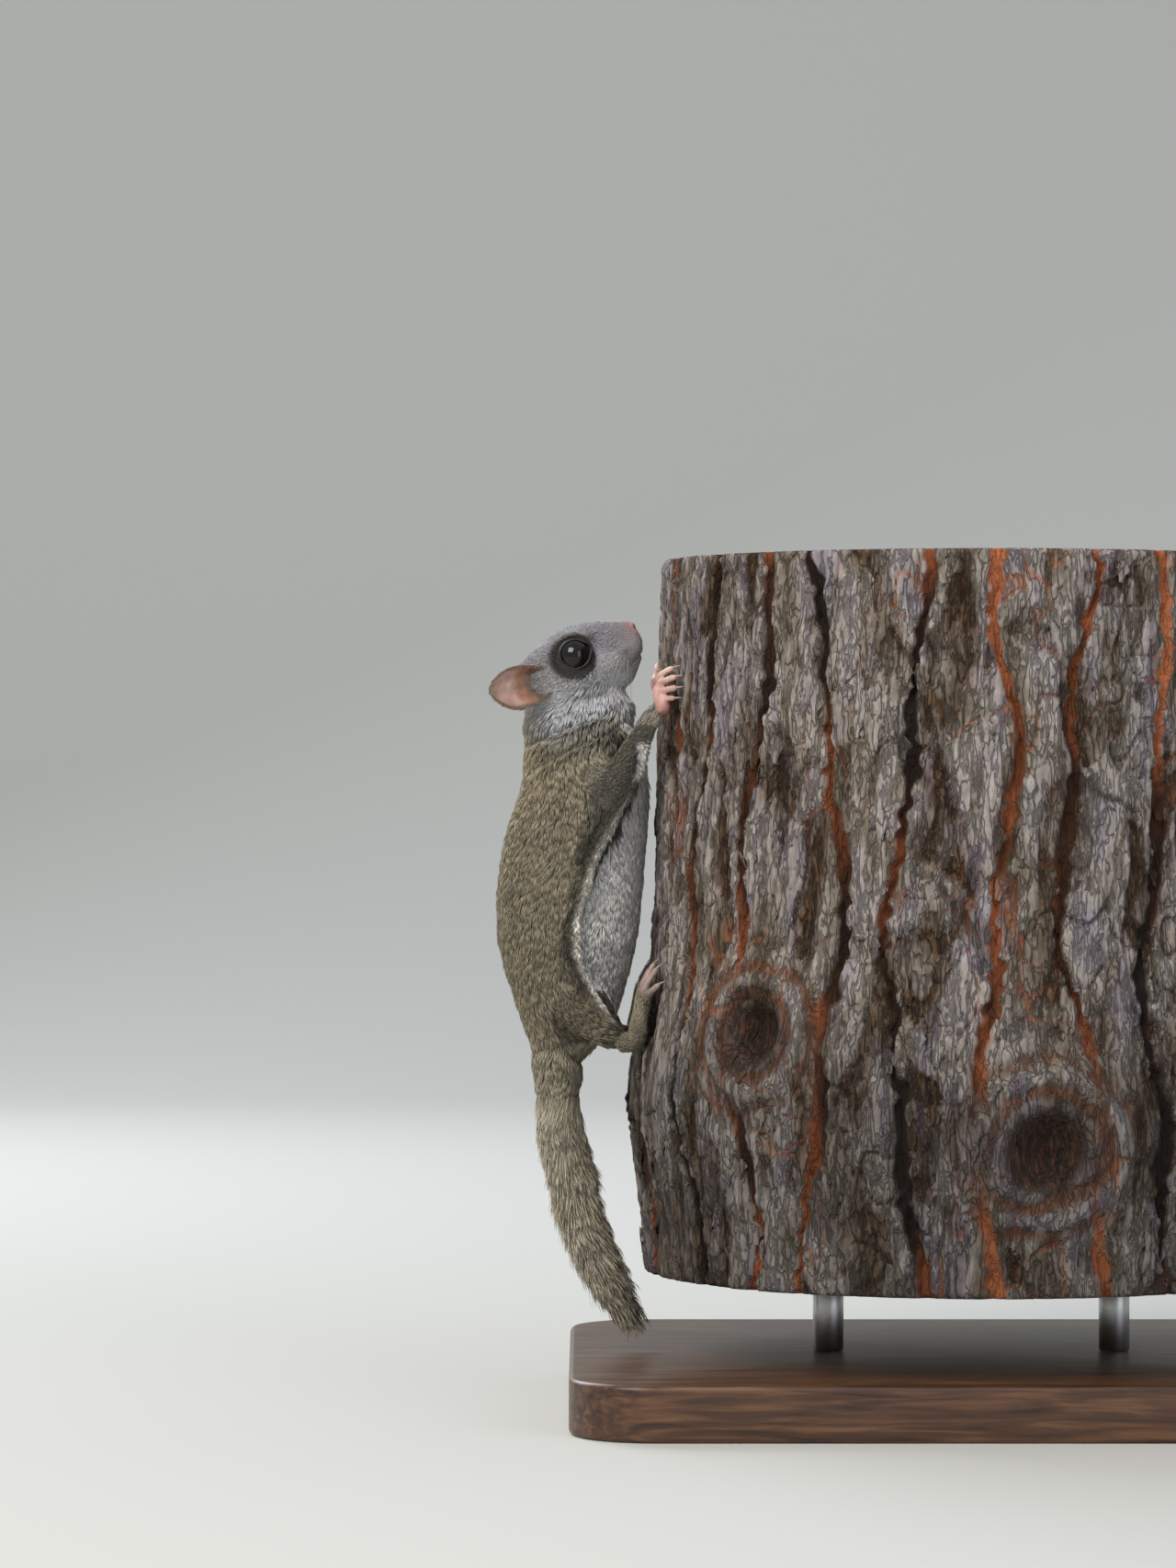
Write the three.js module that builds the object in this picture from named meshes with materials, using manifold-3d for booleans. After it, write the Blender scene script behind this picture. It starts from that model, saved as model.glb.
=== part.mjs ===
// A southern flying squirrel, life size, clinging head up to a short cut length of pine trunk
// that stands on two rods over a flat base.
// Millimetres, +Z up. The origin is the centre of the base's underside, and the trunk's axis is
// the Z axis. The squirrel is on the trunk's -X side with its right flank towards -Y.
import * as THREE from "three";
import { mergeVertices } from "three/addons/utils/BufferGeometryUtils.js";
import Module from "manifold-3d";

const wasm = await Module();
wasm.setup();

// Driving dimensions
const GAP = 0.3; // between two neighbouring nodes
const GRID = 0.001; // vertices closer than this are one
const BASE = { length: 236, width: 190, height: 16, corner: 24, bevel: 1.6 };
const ROD = { radius: 4.5, offset: 42, sides: 20 };
const TRUNK = {
  bottom: 40, top: 248, radiusTop: 90.8, radiusFoot: 96.2,
  whorlHeight: 91, whorlRise: 6.0, whorlReach: 30,
  furrows: 24, furrowDepth: 3.2, furrowHalfWidth: 0.034, rows: 17, crackDepth: 1.5,
};
// Branch scars: angle from -X towards -Y, height, radius of the scar and rise of its rim.
const KNOTS = [
  { angle: 0.83, z: 113, radius: 17, rise: 3.4, pit: 4.2 },
  { angle: 1.72, z: 81, radius: 20, rise: 3.6, pit: 5.0 },
  { angle: 3.35, z: 96, radius: 16, rise: 3.2, pit: 3.6 },
  { angle: 4.85, z: 88, radius: 18, rise: 3.4, pit: 4.2 },
];
const HEAD = { noseX: -98.0, noseZ: 226.1, tilt: 0.484, segments: 22 };
const EYE = { along: 19.3, rise: 3.2, out: 8.3, radius: 4.9, aperture: 4.05, lid: 0.85 };
const EAR = { along: 31.2, rise: 0.6, out: 9.2, width: 13.4, wall: 1.0, depth: 3.6, steps: 8, sides: 12 };
const WRIST = { angle: 0.312, z: 204.5, lift: 3.4 };
const TAIL = {
  coreShare: 0.48, halfThick: 7.3, halfWide: 11.5, lockRows: 9, locksAround: 5, lockLength: 22.5,
  length: 86, tipOverhang: 5.5,
};
const SKIN = "#8b8173";

// Small maths helpers
const vec = (x, y, z) => new THREE.Vector3(x, y, z);
const UP = vec(0, 0, 1);
const LATERAL = vec(0, 1, 0);

// A repeatable pseudo-random number from 0 to 1 for an integer or a pair of them.
const chance = (a, b = 0) => {
  const s = Math.sin(a * 127.1 + b * 311.7 + 74.7) * 43758.5453;
  return s - Math.floor(s);
};

// Reads a list of rows with equal keys as smooth curves over 0..1 and returns the row at u.
function rowAt(rows, u) {
  const n = rows.length - 1;
  const i = Math.min(Math.floor(u * n), n - 1);
  const f = u * n - i;
  const row = {};
  for (const key of Object.keys(rows[0])) {
    const b = rows[i][key];
    const c = rows[i + 1][key];
    const a = i > 0 ? rows[i - 1][key] : 2 * b - c;
    const d = i < n - 1 ? rows[i + 2][key] : 2 * c - b;
    row[key] = b + 0.5 * f * (c - a + f * (2 * a - 5 * b + 4 * c - d + f * (3 * (b - c) + d - a)));
  }
  return row;
}

// A closed surface through a list of rings of equal count, each end closed on one point.
function ringLoft(rings, startTip, endTip) {
  const n = rings[0].length;
  const points = rings.flat();
  const faces = [];
  for (let k = 0; k < rings.length - 1; k++) {
    for (let j = 0; j < n; j++) {
      const a = k * n + j;
      const b = k * n + ((j + 1) % n);
      faces.push(a, b, b + n, a, b + n, a + n);
    }
  }
  const first = points.push(startTip) - 1;
  const last = points.push(endTip) - 1;
  const tail = (rings.length - 1) * n;
  for (let j = 0; j < n; j++) {
    faces.push(first, (j + 1) % n, j);
    faces.push(last, tail + j, tail + ((j + 1) % n));
  }
  let volume = 0;
  for (let i = 0; i < faces.length; i += 3) {
    volume += points[faces[i]].dot(points[faces[i + 1]].clone().cross(points[faces[i + 2]]));
  }
  if (volume < 0) faces.reverse();
  const geometry = new THREE.BufferGeometry().setFromPoints(points);
  geometry.setIndex(faces);
  return solidOf(geometry);
}

// A closed three.js geometry as a solid that can be joined and cut.
function solidOf(geometry) {
  const bare = new THREE.BufferGeometry().setAttribute("position", geometry.getAttribute("position"));
  if (geometry.index) bare.setIndex(geometry.index);
  const merged = mergeVertices(bare, 1e-4);
  return new wasm.Manifold(new wasm.Mesh({
    numProp: 3,
    vertProperties: merged.attributes.position.array,
    triVerts: new Uint32Array(merged.index.array),
  }));
}

const joined = (solids) => solids.reduce((all, s) => all.add(s));
const cutBy = (solid, cutters) => cutters.reduce((left, c) => left.subtract(c), solid);

// An oval ring: half size `side` along one axis, `top` and `bottom` along the other.
// A power under 1 squares the oval, over 1 pinches it.
function oval(centre, sideAxis, upAxis, side, top, bottom, count, power = 1) {
  const ring = [];
  for (let j = 0; j < count; j++) {
    const a = (2 * Math.PI * (j + 0.5)) / count;
    const c = Math.cos(a);
    const s = Math.sin(a);
    const x = side * Math.sign(c) * Math.abs(c) ** power;
    const y = (s > 0 ? top : bottom) * Math.sign(s) * Math.abs(s) ** power;
    ring.push(centre.clone().addScaledVector(sideAxis, x).addScaledVector(upAxis, y));
  }
  return ring;
}

// A limb, digit or claw: a round or flattened tube through stations {x, y, z, r}.
// `flat` widens it along `flatAxis`; `grow` thickens it for cutting a neighbour with a gap.
function limb(stations, { sides = 10, steps = 9, grow = 0, flat = 1, flatAxis = LATERAL } = {}) {
  const rings = [];
  let tips = [];
  for (let k = 0; k <= steps; k++) {
    const u = k / steps;
    const here = rowAt(stations, u);
    const before = rowAt(stations, Math.max(u - 0.01, 0));
    const after = rowAt(stations, Math.min(u + 0.01, 1));
    const along = vec(after.x - before.x, after.y - before.y, after.z - before.z).normalize();
    const side = flatAxis.clone().addScaledVector(along, -flatAxis.dot(along)).normalize();
    const up = side.clone().cross(along);
    const centre = vec(here.x, here.y, here.z);
    const end = k === 0 || k === steps;
    const r = (end ? 0.72 : 1) * here.r + grow;
    rings.push(oval(centre, side, up, r * flat, r, r, sides));
    if (end) tips.push(centre.clone().addScaledVector(along, (k ? 1 : -1) * (0.62 * here.r + grow)));
  }
  return ringLoft(rings, tips[0], tips[1]);
}

// Trunk
const mix = (a, b, t) => a + (b - a) * t;

function trunkProfile(angle, z) {
  const low = (TRUNK.top - z) / (TRUNK.top - TRUNK.bottom);
  const whorl = Math.exp(-(((z - TRUNK.whorlHeight) / TRUNK.whorlReach) ** 2));
  let radius = mix(TRUNK.radiusTop, TRUNK.radiusFoot, low) + TRUNK.whorlRise * whorl;
  for (const knot of KNOTS) {
    const turn = Math.atan2(Math.sin(angle - knot.angle), Math.cos(angle - knot.angle));
    const away = Math.hypot(turn * radius, z - knot.z) / knot.radius;
    radius += knot.rise * Math.exp(-(((away - 0.85) / 0.42) ** 2)) - knot.pit * Math.exp(-((away / 0.5) ** 2));
  }
  return radius;
}

// The bark's furrows wander as they climb; furrow k's angle at height z.
function furrowAngle(k, z) {
  const pitch = (2 * Math.PI) / TRUNK.furrows;
  const n = k % TRUNK.furrows;
  const sway = 0.2 * Math.sin(z / 34 + 6.28 * chance(n, 1)) + 0.07 * Math.sin(z / 11 + 6.28 * chance(n, 2));
  return pitch * (k + (n ? sway : 0.3 * sway));
}

function trunkSolid(grow = 0) {
  const rings = [];
  for (let row = 0; row <= TRUNK.rows; row++) {
    const z = mix(TRUNK.bottom - grow, TRUNK.top + grow, row / TRUNK.rows);
    const ring = [];
    for (let k = 0; k < TRUNK.furrows; k++) {
      const a = furrowAngle(k, z);
      const b = furrowAngle(k + 1, z);
      const crack = chance(k, row + 40) < 0.24 ? TRUNK.crackDepth : 0;
      const columns = [
        [a, -TRUNK.furrowDepth],
        [a + TRUNK.furrowHalfWidth, -crack],
        [b - TRUNK.furrowHalfWidth, -0.6 * crack],
      ];
      for (const [angle, relief] of columns) {
        const r = trunkProfile(angle, z) + (grow ? Math.max(relief, -0.8) : relief) + grow;
        ring.push(vec(-r * Math.cos(angle), -r * Math.sin(angle), z));
      }
    }
    rings.push(ring);
  }
  return ringLoft(rings, vec(0, 0, TRUNK.bottom - grow), vec(0, 0, TRUNK.top + grow));
}

// A point on the bark at an angle and a height, lifted off the surface.
function onTrunk(angle, z, lift) {
  const r = trunkProfile(angle, z) + lift;
  return { x: -r * Math.cos(angle), y: -r * Math.sin(angle), z };
}

// Body: one upright column from the rump to inside the head, as level slices.
const COLUMN = [
  { z: 97.5, back: -126.0, belly: -117.5, half: 4.2 },
  { z: 101.0, back: -128.6, belly: -114.2, half: 8.6 },
  { z: 107.5, back: -130.4, belly: -108.6, half: 13.4 },
  { z: 116.0, back: -133.4, belly: -103.6, half: 17.4 },
  { z: 125.0, back: -136.4, belly: -101.0, half: 20.2 },
  { z: 134.0, back: -138.6, belly: -98.6, half: 21.6 },
  { z: 143.0, back: -139.6, belly: -97.2, half: 21.7 },
  { z: 153.8, back: -139.3, belly: -96.2, half: 21.2 },
  { z: 164.6, back: -137.7, belly: -95.2, half: 20.0 },
  { z: 172.7, back: -135.5, belly: -94.6, half: 19.2 },
  { z: 180.8, back: -132.9, belly: -94.4, half: 18.7 },
  { z: 188.9, back: -131.8, belly: -95.2, half: 17.4 },
  { z: 197.0, back: -131.8, belly: -97.2, half: 14.8 },
  { z: 204.0, back: -131.6, belly: -100.8, half: 12.4 },
  { z: 209.0, back: -129.4, belly: -105.0, half: 10.2 },
];

function columnSolid(grow = 0, rings = 21, count = 22) {
  const slices = [];
  for (let k = 0; k <= rings; k++) {
    const row = rowAt(COLUMN, k / rings);
    const end = k === 0 ? -grow : k === rings ? grow : 0;
    const centre = vec((row.back + row.belly) / 2, 0, row.z + end);
    const deep = (row.belly - row.back) / 2 + grow;
    slices.push(oval(centre, LATERAL, vec(1, 0, 0), row.half + grow, deep, deep, count, 0.9));
  }
  const low = rowAt(COLUMN, 0);
  const high = rowAt(COLUMN, 1);
  return ringLoft(
    slices,
    vec((low.back + low.belly) / 2, 0, low.z - 1.6 - grow),
    vec((high.back + high.belly) / 2, 0, high.z + 2 + grow),
  );
}

// Half width of the column's side at a height and a place x across it.
function columnSide(x, z) {
  let u = 0;
  for (let k = 0; k <= 400; k++) if (rowAt(COLUMN, k / 400).z <= z) u = k / 400;
  const row = rowAt(COLUMN, u);
  const across = (2 * x - row.back - row.belly) / (row.belly - row.back);
  return row.half * Math.sqrt(Math.max(0, 1 - Math.min(1, across ** 2)));
}

// Head, in its own axes: `along` runs back from the nose, `rise` towards the crown.
const headAlong = vec(-Math.cos(HEAD.tilt), 0, -Math.sin(HEAD.tilt));
const headRise = vec(-Math.sin(HEAD.tilt), 0, Math.cos(HEAD.tilt));
const onHead = (along, rise, y) =>
  vec(HEAD.noseX, y, HEAD.noseZ).addScaledVector(headAlong, along).addScaledVector(headRise, rise);

const SKULL = [
  { along: -0.7, top: 3.0, chin: 1.6, half: 1.9 },
  { along: 0.6, top: 5.0, chin: 4.4, half: 3.5 },
  { along: 3.0, top: 6.8, chin: 7.8, half: 4.9 },
  { along: 7.0, top: 9.2, chin: 11.4, half: 6.8 },
  { along: 12.0, top: 11.2, chin: 12.4, half: 8.6 },
  { along: 17.0, top: 12.2, chin: 12.2, half: 10.8 },
  { along: 22.0, top: 12.0, chin: 11.4, half: 12.5 },
  { along: 27.0, top: 11.0, chin: 10.6, half: 12.9 },
  { along: 32.0, top: 9.8, chin: 9.6, half: 11.8 },
  { along: 36.0, top: 8.0, chin: 8.2, half: 8.8 },
  { along: 38.2, top: 5.0, chin: 5.0, half: 4.8 },
];

// Swellings of the face's sides: whisker pad, cheek and brow.
const SWELLS = [
  { along: 5.4, rise: -2.6, reach: 3.6, out: 1.5 },
  { along: 21.0, rise: -6.0, reach: 6.0, out: 0.9 },
  { along: 17.5, rise: 7.6, reach: 4.0, out: 0.7 },
];

function skullSolid(grow = 0, rings = 16) {
  const slices = [];
  for (let k = 0; k <= rings; k++) {
    const row = rowAt(SKULL, k / rings);
    const end = k === 0 ? -grow : k === rings ? grow : 0;
    const centre = onHead(row.along + end, 0, 0);
    const size = [row.half + grow, row.top + grow, row.chin + grow];
    const slice = oval(centre, LATERAL, headRise, ...size, HEAD.segments, 0.92);
    for (const point of slice) {
      const rise = point.clone().sub(centre).dot(headRise);
      for (const swell of SWELLS) {
        const away = Math.hypot(row.along - swell.along, rise - swell.rise) / swell.reach;
        point.y += Math.sign(point.y) * swell.out * Math.exp(-away * away);
      }
    }
    slices.push(slice);
  }
  return ringLoft(slices, onHead(-1.2 - grow, 0.8, 0), onHead(39.4 + grow, 0, 0));
}

function ball(centre, radius, scale = [1, 1, 1], turn = 0, wide = 16, high = 12) {
  const sphere = new THREE.SphereGeometry(radius, wide, high);
  sphere.scale(...scale);
  sphere.rotateY(turn);
  sphere.translate(centre.x, centre.y, centre.z);
  return solidOf(sphere);
}

function eyeFrame(side) {
  const centre = onHead(EYE.along, EYE.rise, side * EYE.out);
  const axis = vec(0, side, 0).addScaledVector(headAlong, -0.14).addScaledVector(headRise, 0.12).normalize();
  return { centre, axis };
}

const eyeBall = (side, grow = 0) => ball(eyeFrame(side).centre, EYE.radius + grow, [1, 1, 1], 0, 14, 9);

// A lid ring that rims the eyeball where the skin ends.
function lidRing(side) {
  const { centre, axis } = eyeFrame(side);
  const ring = new THREE.TorusGeometry(EYE.aperture + 0.45, EYE.lid, 4, 14);
  ring.applyQuaternion(new THREE.Quaternion().setFromUnitVectors(UP, axis));
  const out = Math.sqrt(EYE.radius ** 2 - EYE.aperture ** 2) - 0.1;
  const place = centre.clone().addScaledVector(axis, out);
  ring.translate(place.x, place.y, place.z);
  return solidOf(ring);
}

// The closed mouth: a thin slit between the lips, from the front back to the corner.
function mouthSlit() {
  const line = [[-2, -5.5], [2.7, -6.7], [5.3, -7.9], [9.4, -8.7]];
  const outline = new THREE.Shape();
  line.forEach(([t, h], i) => (i ? outline.lineTo(t, h + 0.3) : outline.moveTo(t, h + 0.3)));
  [...line].reverse().forEach(([t, h]) => outline.lineTo(t, h - 0.3));
  const slab = new THREE.ExtrudeGeometry(outline, { depth: 30, bevelEnabled: false });
  const place = new THREE.Matrix4().makeBasis(headAlong, headRise, vec(0, -1, 0));
  place.setPosition(onHead(0, 0, 15));
  slab.applyMatrix4(place);
  return solidOf(slab);
}

function headSolid() {
  const parts = [skullSolid()];
  parts.push(ball(onHead(0.3, 2.9, 0), 2.0, [0.9, 1.15, 0.9], 0, 10, 8));
  for (const side of [-1, 1]) {
    parts.push(lidRing(side));
  }
  const cuts = [mouthSlit()];
  for (const side of [-1, 1]) {
    cuts.push(eyeBall(side, GAP));
    cuts.push(ball(onHead(-0.9, 2.2, side * 1.35), 0.75, [1.2, 0.7, 0.9], HEAD.tilt, 8, 6));
    cuts.push(ball(onHead(EAR.along + 0.6, EAR.rise, side * (EAR.out + 2.6)), 2.7, [1, 1, 1.2], 0, 10, 7));
  }
  return cutBy(joined(parts), cuts);
}

// Ear: a leaf laid back along the neck, hollowed on its outer face into a cup.
function earSolid(side) {
  const root = onHead(EAR.along - 2.0, EAR.rise, side * (EAR.out - 0.5));
  const tip = vec(-141.4, side * 14.8, 209.6);
  const along = tip.clone().sub(root).normalize();
  const outward = vec(0.1, side, 0.12);
  outward.addScaledVector(along, -outward.dot(along)).normalize();
  const across = along.clone().cross(outward);
  const length = tip.distanceTo(root);
  const leaf = (shrink, lift) => {
    const rings = [];
    for (let k = 0; k <= EAR.steps; k++) {
      const u = k / EAR.steps;
      const swell = Math.sin(Math.PI * Math.min(0.965, 0.22 + 0.8 * u) ** 1.25) ** 0.62;
      const half = Math.max(0.35, (EAR.width / 2) * swell - shrink);
      const centre = root.clone().addScaledVector(along, mix(shrink, length - shrink, u));
      centre.addScaledVector(outward, lift - 0.8 * u * (1 - u));
      rings.push(oval(centre, across, outward, half, 0.5 * EAR.depth * swell, 0.5 * EAR.depth * swell, EAR.sides, 0.9));
    }
    return ringLoft(rings, rings[0][0].clone().lerp(rings[0][EAR.sides / 2], 0.5), tip.clone().addScaledVector(along, -shrink));
  };
  return leaf(0, 0).subtract(leaf(EAR.wall, EAR.wall + 0.2));
}

// Front limb. `side` is -1 for the right limb; `reach` lifts the whole hand up the trunk.
function armStations(side, reach) {
  const wrist = onTrunk(-side * WRIST.angle, WRIST.z + reach, WRIST.lift);
  return [
    { x: -115.0, y: side * 6.0, z: 191.0, r: 8.4 },
    { x: -111.5, y: side * 11.6, z: 185.4, r: 7.4 },
    { x: -107.0, y: side * 16.4, z: 182.0, r: 5.6 },
    { x: -102.6, y: side * 20.4, z: mix(185.6, wrist.z, 0.1), r: 4.5 },
    { x: -97.2, y: side * 25.0, z: mix(195.0, wrist.z, 0.2), r: 3.5 },
    { ...wrist, r: 2.6 },
  ];
}

function digits(list, sides = 6) {
  return list.flatMap(({ path, radius }) => {
    const stations = path.map(([angle, z, lift], i) => ({
      ...onTrunk(angle, z, lift),
      r: radius * [1, 1.02, 0.92, 0.74][i],
    }));
    const last = path[path.length - 1];
    const before = path[path.length - 2];
    const run = [last[0] - before[0], last[1] - before[1]];
    const scale = 2.3 / Math.hypot(run[0] * 93, run[1]);
    const claw = [0, 0.55, 1].map((u) => ({
      ...onTrunk(last[0] + run[0] * scale * u, last[1] + run[1] * scale * u, last[2] + 0.5 * Math.sin(2.4 * u) - 0.5 * u),
      r: mix(0.52, 0.13, u),
    }));
    return [limb(stations, { sides, steps: 4 }), limb(claw, { sides: 4, steps: 2 })];
  });
}

// The fingers grip the bark one above the other and point up and around the trunk.
const FINGERS = [
  { root: [0.266, 7.4], tip: [0.338, 11.6], radius: 1.0 },
  { root: [0.258, 5.6], tip: [0.366, 9.0], radius: 1.05 },
  { root: [0.262, 3.8], tip: [0.372, 5.8], radius: 1.05 },
  { root: [0.274, 2.2], tip: [0.356, 2.8], radius: 0.95 },
];

function handSolid(side, reach) {
  const a = (value) => -side * value;
  const z = WRIST.z + reach;
  const palm = limb(
    [
      { ...onTrunk(a(WRIST.angle), z - 2, WRIST.lift), r: 2.6 },
      { ...onTrunk(a(0.304), z + 1.2, 3.5), r: 2.6 },
      { ...onTrunk(a(0.282), z + 4.2, 3.5), r: 3.0 },
      { ...onTrunk(a(0.272), z + 7.0, 3.2), r: 2.4 },
    ],
    { sides: 10, steps: 5, flat: 1.2 },
  );
  const fingers = FINGERS.map(({ root, tip, radius }) => {
    const at = (t, lift) => [a(mix(root[0], tip[0], t)), z + mix(root[1], tip[1], t ** 0.8), lift];
    return { radius, path: [at(0, 3.6), at(0.3, 4.3), at(0.72, 3.0), at(1, 1.3)] };
  });
  const thumb = { radius: 0.8, path: [[a(0.3), z + 2, 2.6], [a(0.31), z + 2.6, 2.4], [a(0.32), z + 3, 2.0], [a(0.328), z + 3.3, 1.5]] };
  return joined([palm, ...digits([...fingers, thumb])]).trimByPlane([0, 0, 1], z + GAP);
}

// Hind limb: thigh and shank end at the heel, the foot runs up the bark.
const legStations = (side) => [
  { x: -121.5, y: side * 5.0, z: 123.0, r: 12.6 },
  { x: -117.0, y: side * 10.6, z: 120.0, r: 11.0 },
  { x: -112.0, y: side * 16.4, z: 115.6, r: 8.0 },
  { x: -107.6, y: side * 20.6, z: 110.8, r: 5.4 },
  { x: -103.6, y: side * 23.0, z: 108.4, r: 3.9 },
];

function footParts(side) {
  const a = (value) => -side * value;
  const sole = limb(
    [
      { x: -104.6, y: side * 22.8, z: 107.6, r: 3.1 },
      { ...onTrunk(a(0.236), 108.4, 3.6), r: 3.2 },
      { ...onTrunk(a(0.244), 115.0, 3.4), r: 2.6 },
      { ...onTrunk(a(0.25), 121.5, 3.4), r: 2.6 },
      { ...onTrunk(a(0.254), 125.0, 3.2), r: 2.0 },
    ],
    { sides: 10, steps: 7, flat: 1.25 },
  );
  const toes = [0, 1, 2, 3, 4].map((k) => {
    const spread = [-0.058, -0.03, 0, 0.028, 0.056][k];
    const length = [4.4, 6.4, 7.2, 6.6, 4.8][k];
    const rootZ = 121.6 + [-1.8, 1.2, 2.0, 1.4, -1.4][k];
    const root = 0.252 + 0.42 * spread;
    return {
      radius: 1.02,
      path: [
        [a(root), rootZ - 1.5, 3.2],
        [a(root + 0.25 * spread), rootZ + 0.24 * length, 3.7],
        [a(root + 0.66 * spread), rootZ + 0.66 * length, 2.6],
        [a(root + spread), rootZ + length, 1.4],
      ],
    };
  });
  return { sole, toes: digits(toes, 5) };
}

const ANKLE = 111.5;

// Gliding membrane, relaxed: a fold from the wrist along the flank to the ankle.
// Its root runs inside the arm, flank and leg, and its rim stands free of them.
function membraneSolid(side, reach) {
  const inFlank = (x, z) => ({ x, y: columnSide(x, z) - 1.6, z });
  const root = [
    { x: -92.6, y: 27.4, z: 202.0 + reach },
    { x: -97.4, y: 24.6, z: 195.5 + reach * 0.6 },
    { x: -101.2, y: 22.4, z: 188.0 },
    { x: -106.4, y: 19.4, z: 180.0 },
    inFlank(-111.5, 172.5),
    inFlank(-114.4, 164.0),
    inFlank(-117.0, 154.0),
    inFlank(-119.6, 143.0),
    { ...inFlank(-119.6, 133.5), y: 20.6 },
    { x: -116.0, y: 21.0, z: 124.6 },
    { x: -110.6, y: 21.6, z: 117.0 },
    { x: -105.4, y: 22.6, z: 110.6 },
  ];
  const rim = [
    { x: -93.0, y: 28.4, z: 199.0 + reach },
    { x: -95.0, y: 27.4, z: 193.0 + reach * 0.6 },
    { x: -96.6, y: 25.6, z: 186.2 },
    { x: -99.9, y: 24.2, z: 178.8 },
    { x: -103.2, y: 23.6, z: 171.3 },
    { x: -107.2, y: 24.0, z: 164.0 },
    { x: -111.3, y: 24.9, z: 155.0 },
    { x: -114.6, y: 25.7, z: 143.0 },
    { x: -114.9, y: 26.6, z: 133.5 },
    { x: -110.9, y: 27.0, z: 123.8 },
    { x: -106.4, y: 26.6, z: 116.8 },
    { x: -103.6, y: 25.4, z: 111.4 },
  ];
  const rings = [];
  const steps = 22;
  for (let k = 0; k <= steps; k++) {
    const inner = rowAt(root, k / steps);
    const outer = rowAt(rim, k / steps);
    const from = vec(inner.x, side * inner.y, inner.z);
    const to = vec(outer.x, side * outer.y, outer.z);
    const across = to.clone().sub(from);
    const half = across.length() / 2 + 0.4;
    across.normalize();
    const ahead = rowAt(rim, Math.min(1, k / steps + 0.02));
    const behind = rowAt(rim, Math.max(0, k / steps - 0.02));
    const along = vec(ahead.x - behind.x, side * (ahead.y - behind.y), ahead.z - behind.z).normalize();
    const thick = along.clone().cross(across).normalize();
    const ripple = 0.35 * Math.sin(k * 2.2) * Math.sin((Math.PI * k) / steps);
    const centre = from.lerp(to, 0.5).addScaledVector(across, ripple);
    const body = Math.sin((Math.PI * (k + 0.8)) / (steps + 1.6)) ** 0.4;
    rings.push(oval(centre, across, thick, half, 1.55 * body, 1.55 * body, 10, 0.9));
  }
  const middle = (ring) => ring.reduce((sum, p) => sum.add(p), vec(0, 0, 0)).divideScalar(ring.length);
  return ringLoft(rings, middle(rings[0]), middle(rings[steps]));
}

// Tail: a core inside flat tapered locks that part to both sides, out to the coat's edge.
const TAIL_LINE = [
  { x: -122.4, z: 108.0, size: 0.9 },
  { x: -121.5, z: 101.0, size: 0.98 },
  { x: -121.5, z: 94.0, size: 0.98 },
  { x: -121.1, z: 87.0, size: 1.0 },
  { x: -119.9, z: 79.0, size: 1.02 },
  { x: -118.0, z: 70.6, size: 1.02 },
  { x: -116.2, z: 62.0, size: 0.98 },
  { x: -113.9, z: 53.9, size: 0.93 },
  { x: -110.9, z: 45.8, size: 0.84 },
  { x: -107.6, z: 39.0, size: 0.68 },
  { x: -104.6, z: 33.2, size: 0.45 },
  { x: -101.9, z: 29.0, size: 0.2 },
];

function tailFrame(u) {
  const here = rowAt(TAIL_LINE, u);
  const a = rowAt(TAIL_LINE, Math.max(0, u - 0.01));
  const b = rowAt(TAIL_LINE, Math.min(1, u + 0.01));
  const along = vec(b.x - a.x, 0, b.z - a.z).normalize();
  return { centre: vec(here.x, 0, here.z), along, out: LATERAL.clone().cross(along), size: here.size };
}

function tailCore(grow = 0) {
  const rings = [];
  const steps = 13;
  for (let k = 0; k <= steps; k++) {
    const { centre, out, size } = tailFrame(k / steps);
    const wide = TAIL.coreShare * TAIL.halfWide * size + grow;
    const thick = TAIL.coreShare * TAIL.halfThick * size + grow;
    rings.push(oval(centre, LATERAL, out, wide, thick, thick, 9));
  }
  const first = tailFrame(0);
  const last = tailFrame(1);
  return ringLoft(
    rings,
    first.centre.clone().addScaledVector(first.along, -1),
    last.centre.clone().addScaledVector(last.along, 1.5),
  );
}

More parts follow.
